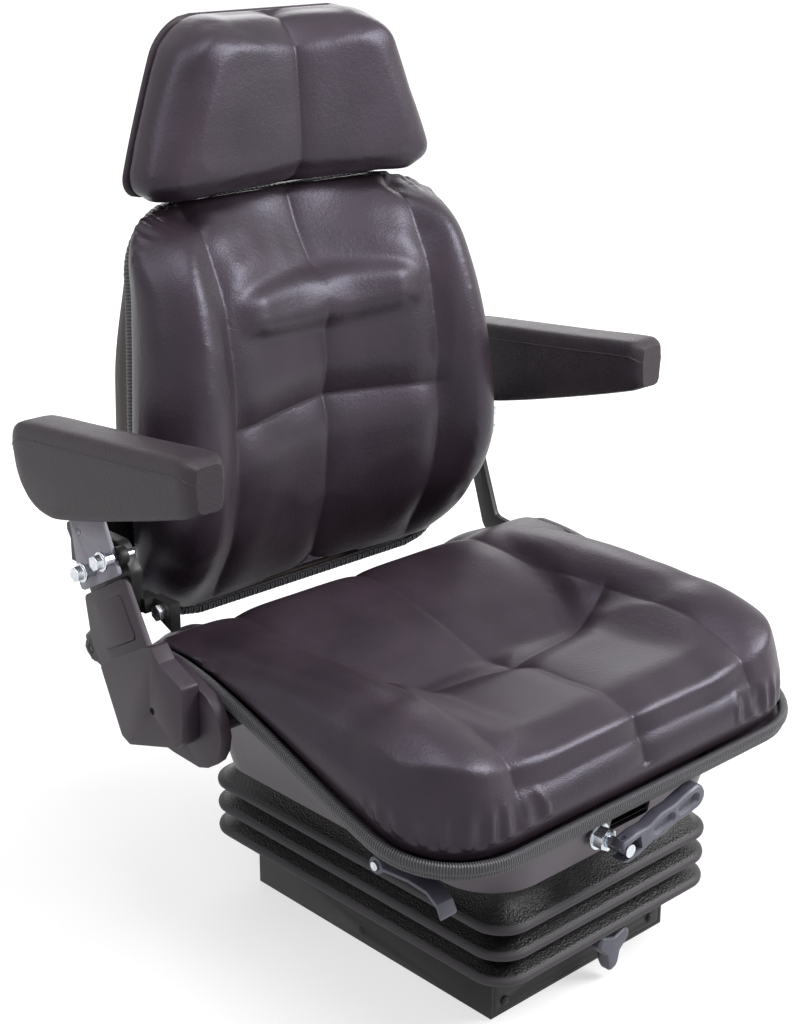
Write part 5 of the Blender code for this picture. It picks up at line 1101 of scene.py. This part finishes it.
# Upper flank with its parting line: share of the width, and depth under the top
PAD_FLANK = [(0.985, 0.0175), (0.985, 0.0166), (1.01, 0.0161), (1.01, 0.0150), (0.98, 0.0145),
             (0.975, 0.0125), (0.955, 0.0078), (0.92, 0.0045), (0.86, 0.002), (0.76, 0.0006),
             (0.5, 0.0)]


def build_armrest(side, word):
    """Moulded foam pad with a fine parting line along its upper edge."""
    middle = (PAD_INNER_X + PAD_OUTER_X) / 2
    half = (PAD_OUTER_X - PAD_INNER_X) / 2
    rings = []
    stations = [PAD_FRONT + (PAD_REAR - PAD_FRONT) * crowded(k / 40, 0.08) for k in range(41)]
    for y in stations:
        end = min(1.0, (y - PAD_FRONT) / 0.018, (PAD_REAR - y) / 0.02)
        width = half * (0.64 + 0.36 * math.sqrt(max(0.0, 1 - (1 - end) ** 2)))
        top, bottom = smooth_curve(PAD_TOP, y) - 0.004 * (1 - end) ** 2, smooth_curve(PAD_BOTTOM, y)
        ring = [(0.9 * width - 0.006, bottom), (0.9 * width - 0.002, bottom + 0.0014),
                (0.9 * width, bottom + 0.006), (0.95 * width, (top + bottom) / 2 - 0.004)]
        ring += [(share * width, top - depth) for share, depth in PAD_FLANK]
        ring += [(-x, z) for x, z in ring[::-1]]
        rings.append([Vector((middle + x, y, z)) for x, z in ring])
    pad = to_object("armrest_%s_finished" % word, on_side(skinned(rings), side), 35)
    cut_away(pad, block((side * 0.2702, 0.23, 0.4185), (0.011, 0.14, 0.077)), 35)
    dress(pad, FOAM, ["arm_pad_" + word], "foam_skin")


build_pan()
build_pan_trim()
build_seat_cushion()
build_back_shell()
build_back_trim()
build_back_cushion()
build_headrest()
build_bellows()
for side, word in ((-1, "left"), (1, "right")):
    build_armrest(side, word)

# Finish for each slot of the steel, plastic and hidden pieces
SLOT_FINISHES = {"black_paint": BLACK_PAINT, "zinc": ZINC, "steel": STEEL, "black_plastic": COVER,
                 "grey_plastic": HANDLE, "grey_paint": GREY_PAINT, "black_rubber": BELLOWS,
                 "black_vinyl": VINYL, "foam_skin": FOAM}

# Steel and plastic pieces that keep the solids' own shapes, with the radius of their edges
EDGED = [("base_tray", "black_paint", 0.0008),
         ("base_front_plate", "black_paint", 0.0006),
         ("height_knob", "grey_plastic", 0.0012),
         ("crank_handle", "grey_plastic", 0.0012),
         ("spindle_nut", "zinc", 0.0006),
         ("slide_lever", "grey_plastic", 0.0008),
         ("hinge_cover_left", "black_plastic", 0.0012),
         ("back_bolt_left", "zinc", 0.0006),
         ("recline_knob", "black_plastic", 0.001)]
for word in ("left", "right"):
    EDGED += [("hinge_bracket_" + word, "black_plastic", 0.002),
              ("back_arm_" + word, "black_paint", 0.0008),
              ("arm_bracket_" + word, "grey_paint", 0.0006),
              ("arm_bolt_1_" + word, "zinc", 0.0006),
              ("arm_bolt_2_" + word, "zinc", 0.0006),
              ("slider_" + word, "steel", 0.0005),
              ("fixed_rail_" + word, "steel", 0.0005),
              ("rivet_front_" + word, "black_paint", 0.0004)]
for node, slot_name, radius in EDGED:
    refined(node, SLOT_FINISHES[slot_name], slot_name, radius)

# Small or hidden solids keep their meshes and get a worked finish
slot_of = {part["node"]: part["material_slot"] for part in frame["record"]["subparts"]}
for name, node in frame["nodes"].items():
    node.data.materials.clear()
    node.data.materials.append(SLOT_FINISHES[slot_of[name]])


# Floor and background
def seen_by(finish, *kinds):
    """Factor of 1 for camera rays and the named kinds of rays."""
    rays = add_node(finish, "ShaderNodeLightPath").outputs
    seen = rays["Is Camera Ray"]
    for kind in kinds:
        seen = add_node(finish, "ShaderNodeMath", {"operation": "MAXIMUM"},
                        {0: seen, 1: rays[kind]}).outputs[0]
    return seen


def add_stage():
    """Pale floor that stays white round the object and keeps its shadow."""
    shape = bmesh.new()
    bmesh.ops.create_grid(shape, x_segments=1, y_segments=1, size=40)
    floor = to_object("studio_floor", shape)
    finish = bpy.data.materials.new("pale_floor")
    finish.use_nodes = True
    output = finish.node_tree.nodes["Material Output"]
    finish.node_tree.nodes.remove(finish.node_tree.nodes["Principled BSDF"])
    seen = seen_by(finish, "Is Glossy Ray", "Is Transmission Ray")
    place = add_node(finish, "ShaderNodeTexCoord").outputs["Object"]
    reach = add_node(finish, "ShaderNodeVectorMath", {"operation": "LENGTH"}, {0: place})
    level = add_node(finish, "ShaderNodeMapRange",
                     {"From Min": 0.5, "From Max": 1.6, "To Min": 0.62, "To Max": 1.0},
                     {"Value": reach.outputs["Value"]})
    glow = add_node(finish, "ShaderNodeMath", {"operation": "MULTIPLY"},
                    {0: seen, 1: level.outputs["Result"]})
    light = add_node(finish, "ShaderNodeEmission", {"Color": (1, 1, 1, 1)},
                     {"Strength": glow.outputs[0]})
    matt = add_node(finish, "ShaderNodeBsdfDiffuse", {"Color": (0.45, 0.45, 0.45, 1)})
    both = add_node(finish, "ShaderNodeAddShader", links={0: light.outputs[0], 1: matt.outputs[0]})
    finish.node_tree.links.new(both.outputs[0], output.inputs["Surface"])
    floor.data.materials.append(finish)
    floor.location = (0, 0, -0.0005)


def add_world():
    world = bpy.data.worlds.new("studio_world")
    bpy.context.scene.world = world
    world.use_nodes = True
    tree = world.node_tree
    background = tree.nodes["Background"]
    background.inputs["Color"].default_value = (1, 1, 1, 1)
    seen = seen_by(world, "Is Transmission Ray", "Is Glossy Ray")
    level = add_node(world, "ShaderNodeMapRange", {"To Min": 0.28, "To Max": 1.0},
                     {"Value": seen})
    tree.links.new(level.outputs["Result"], background.inputs["Strength"])


add_stage()
add_world()
bpy.context.scene.view_settings.view_transform = "Standard"
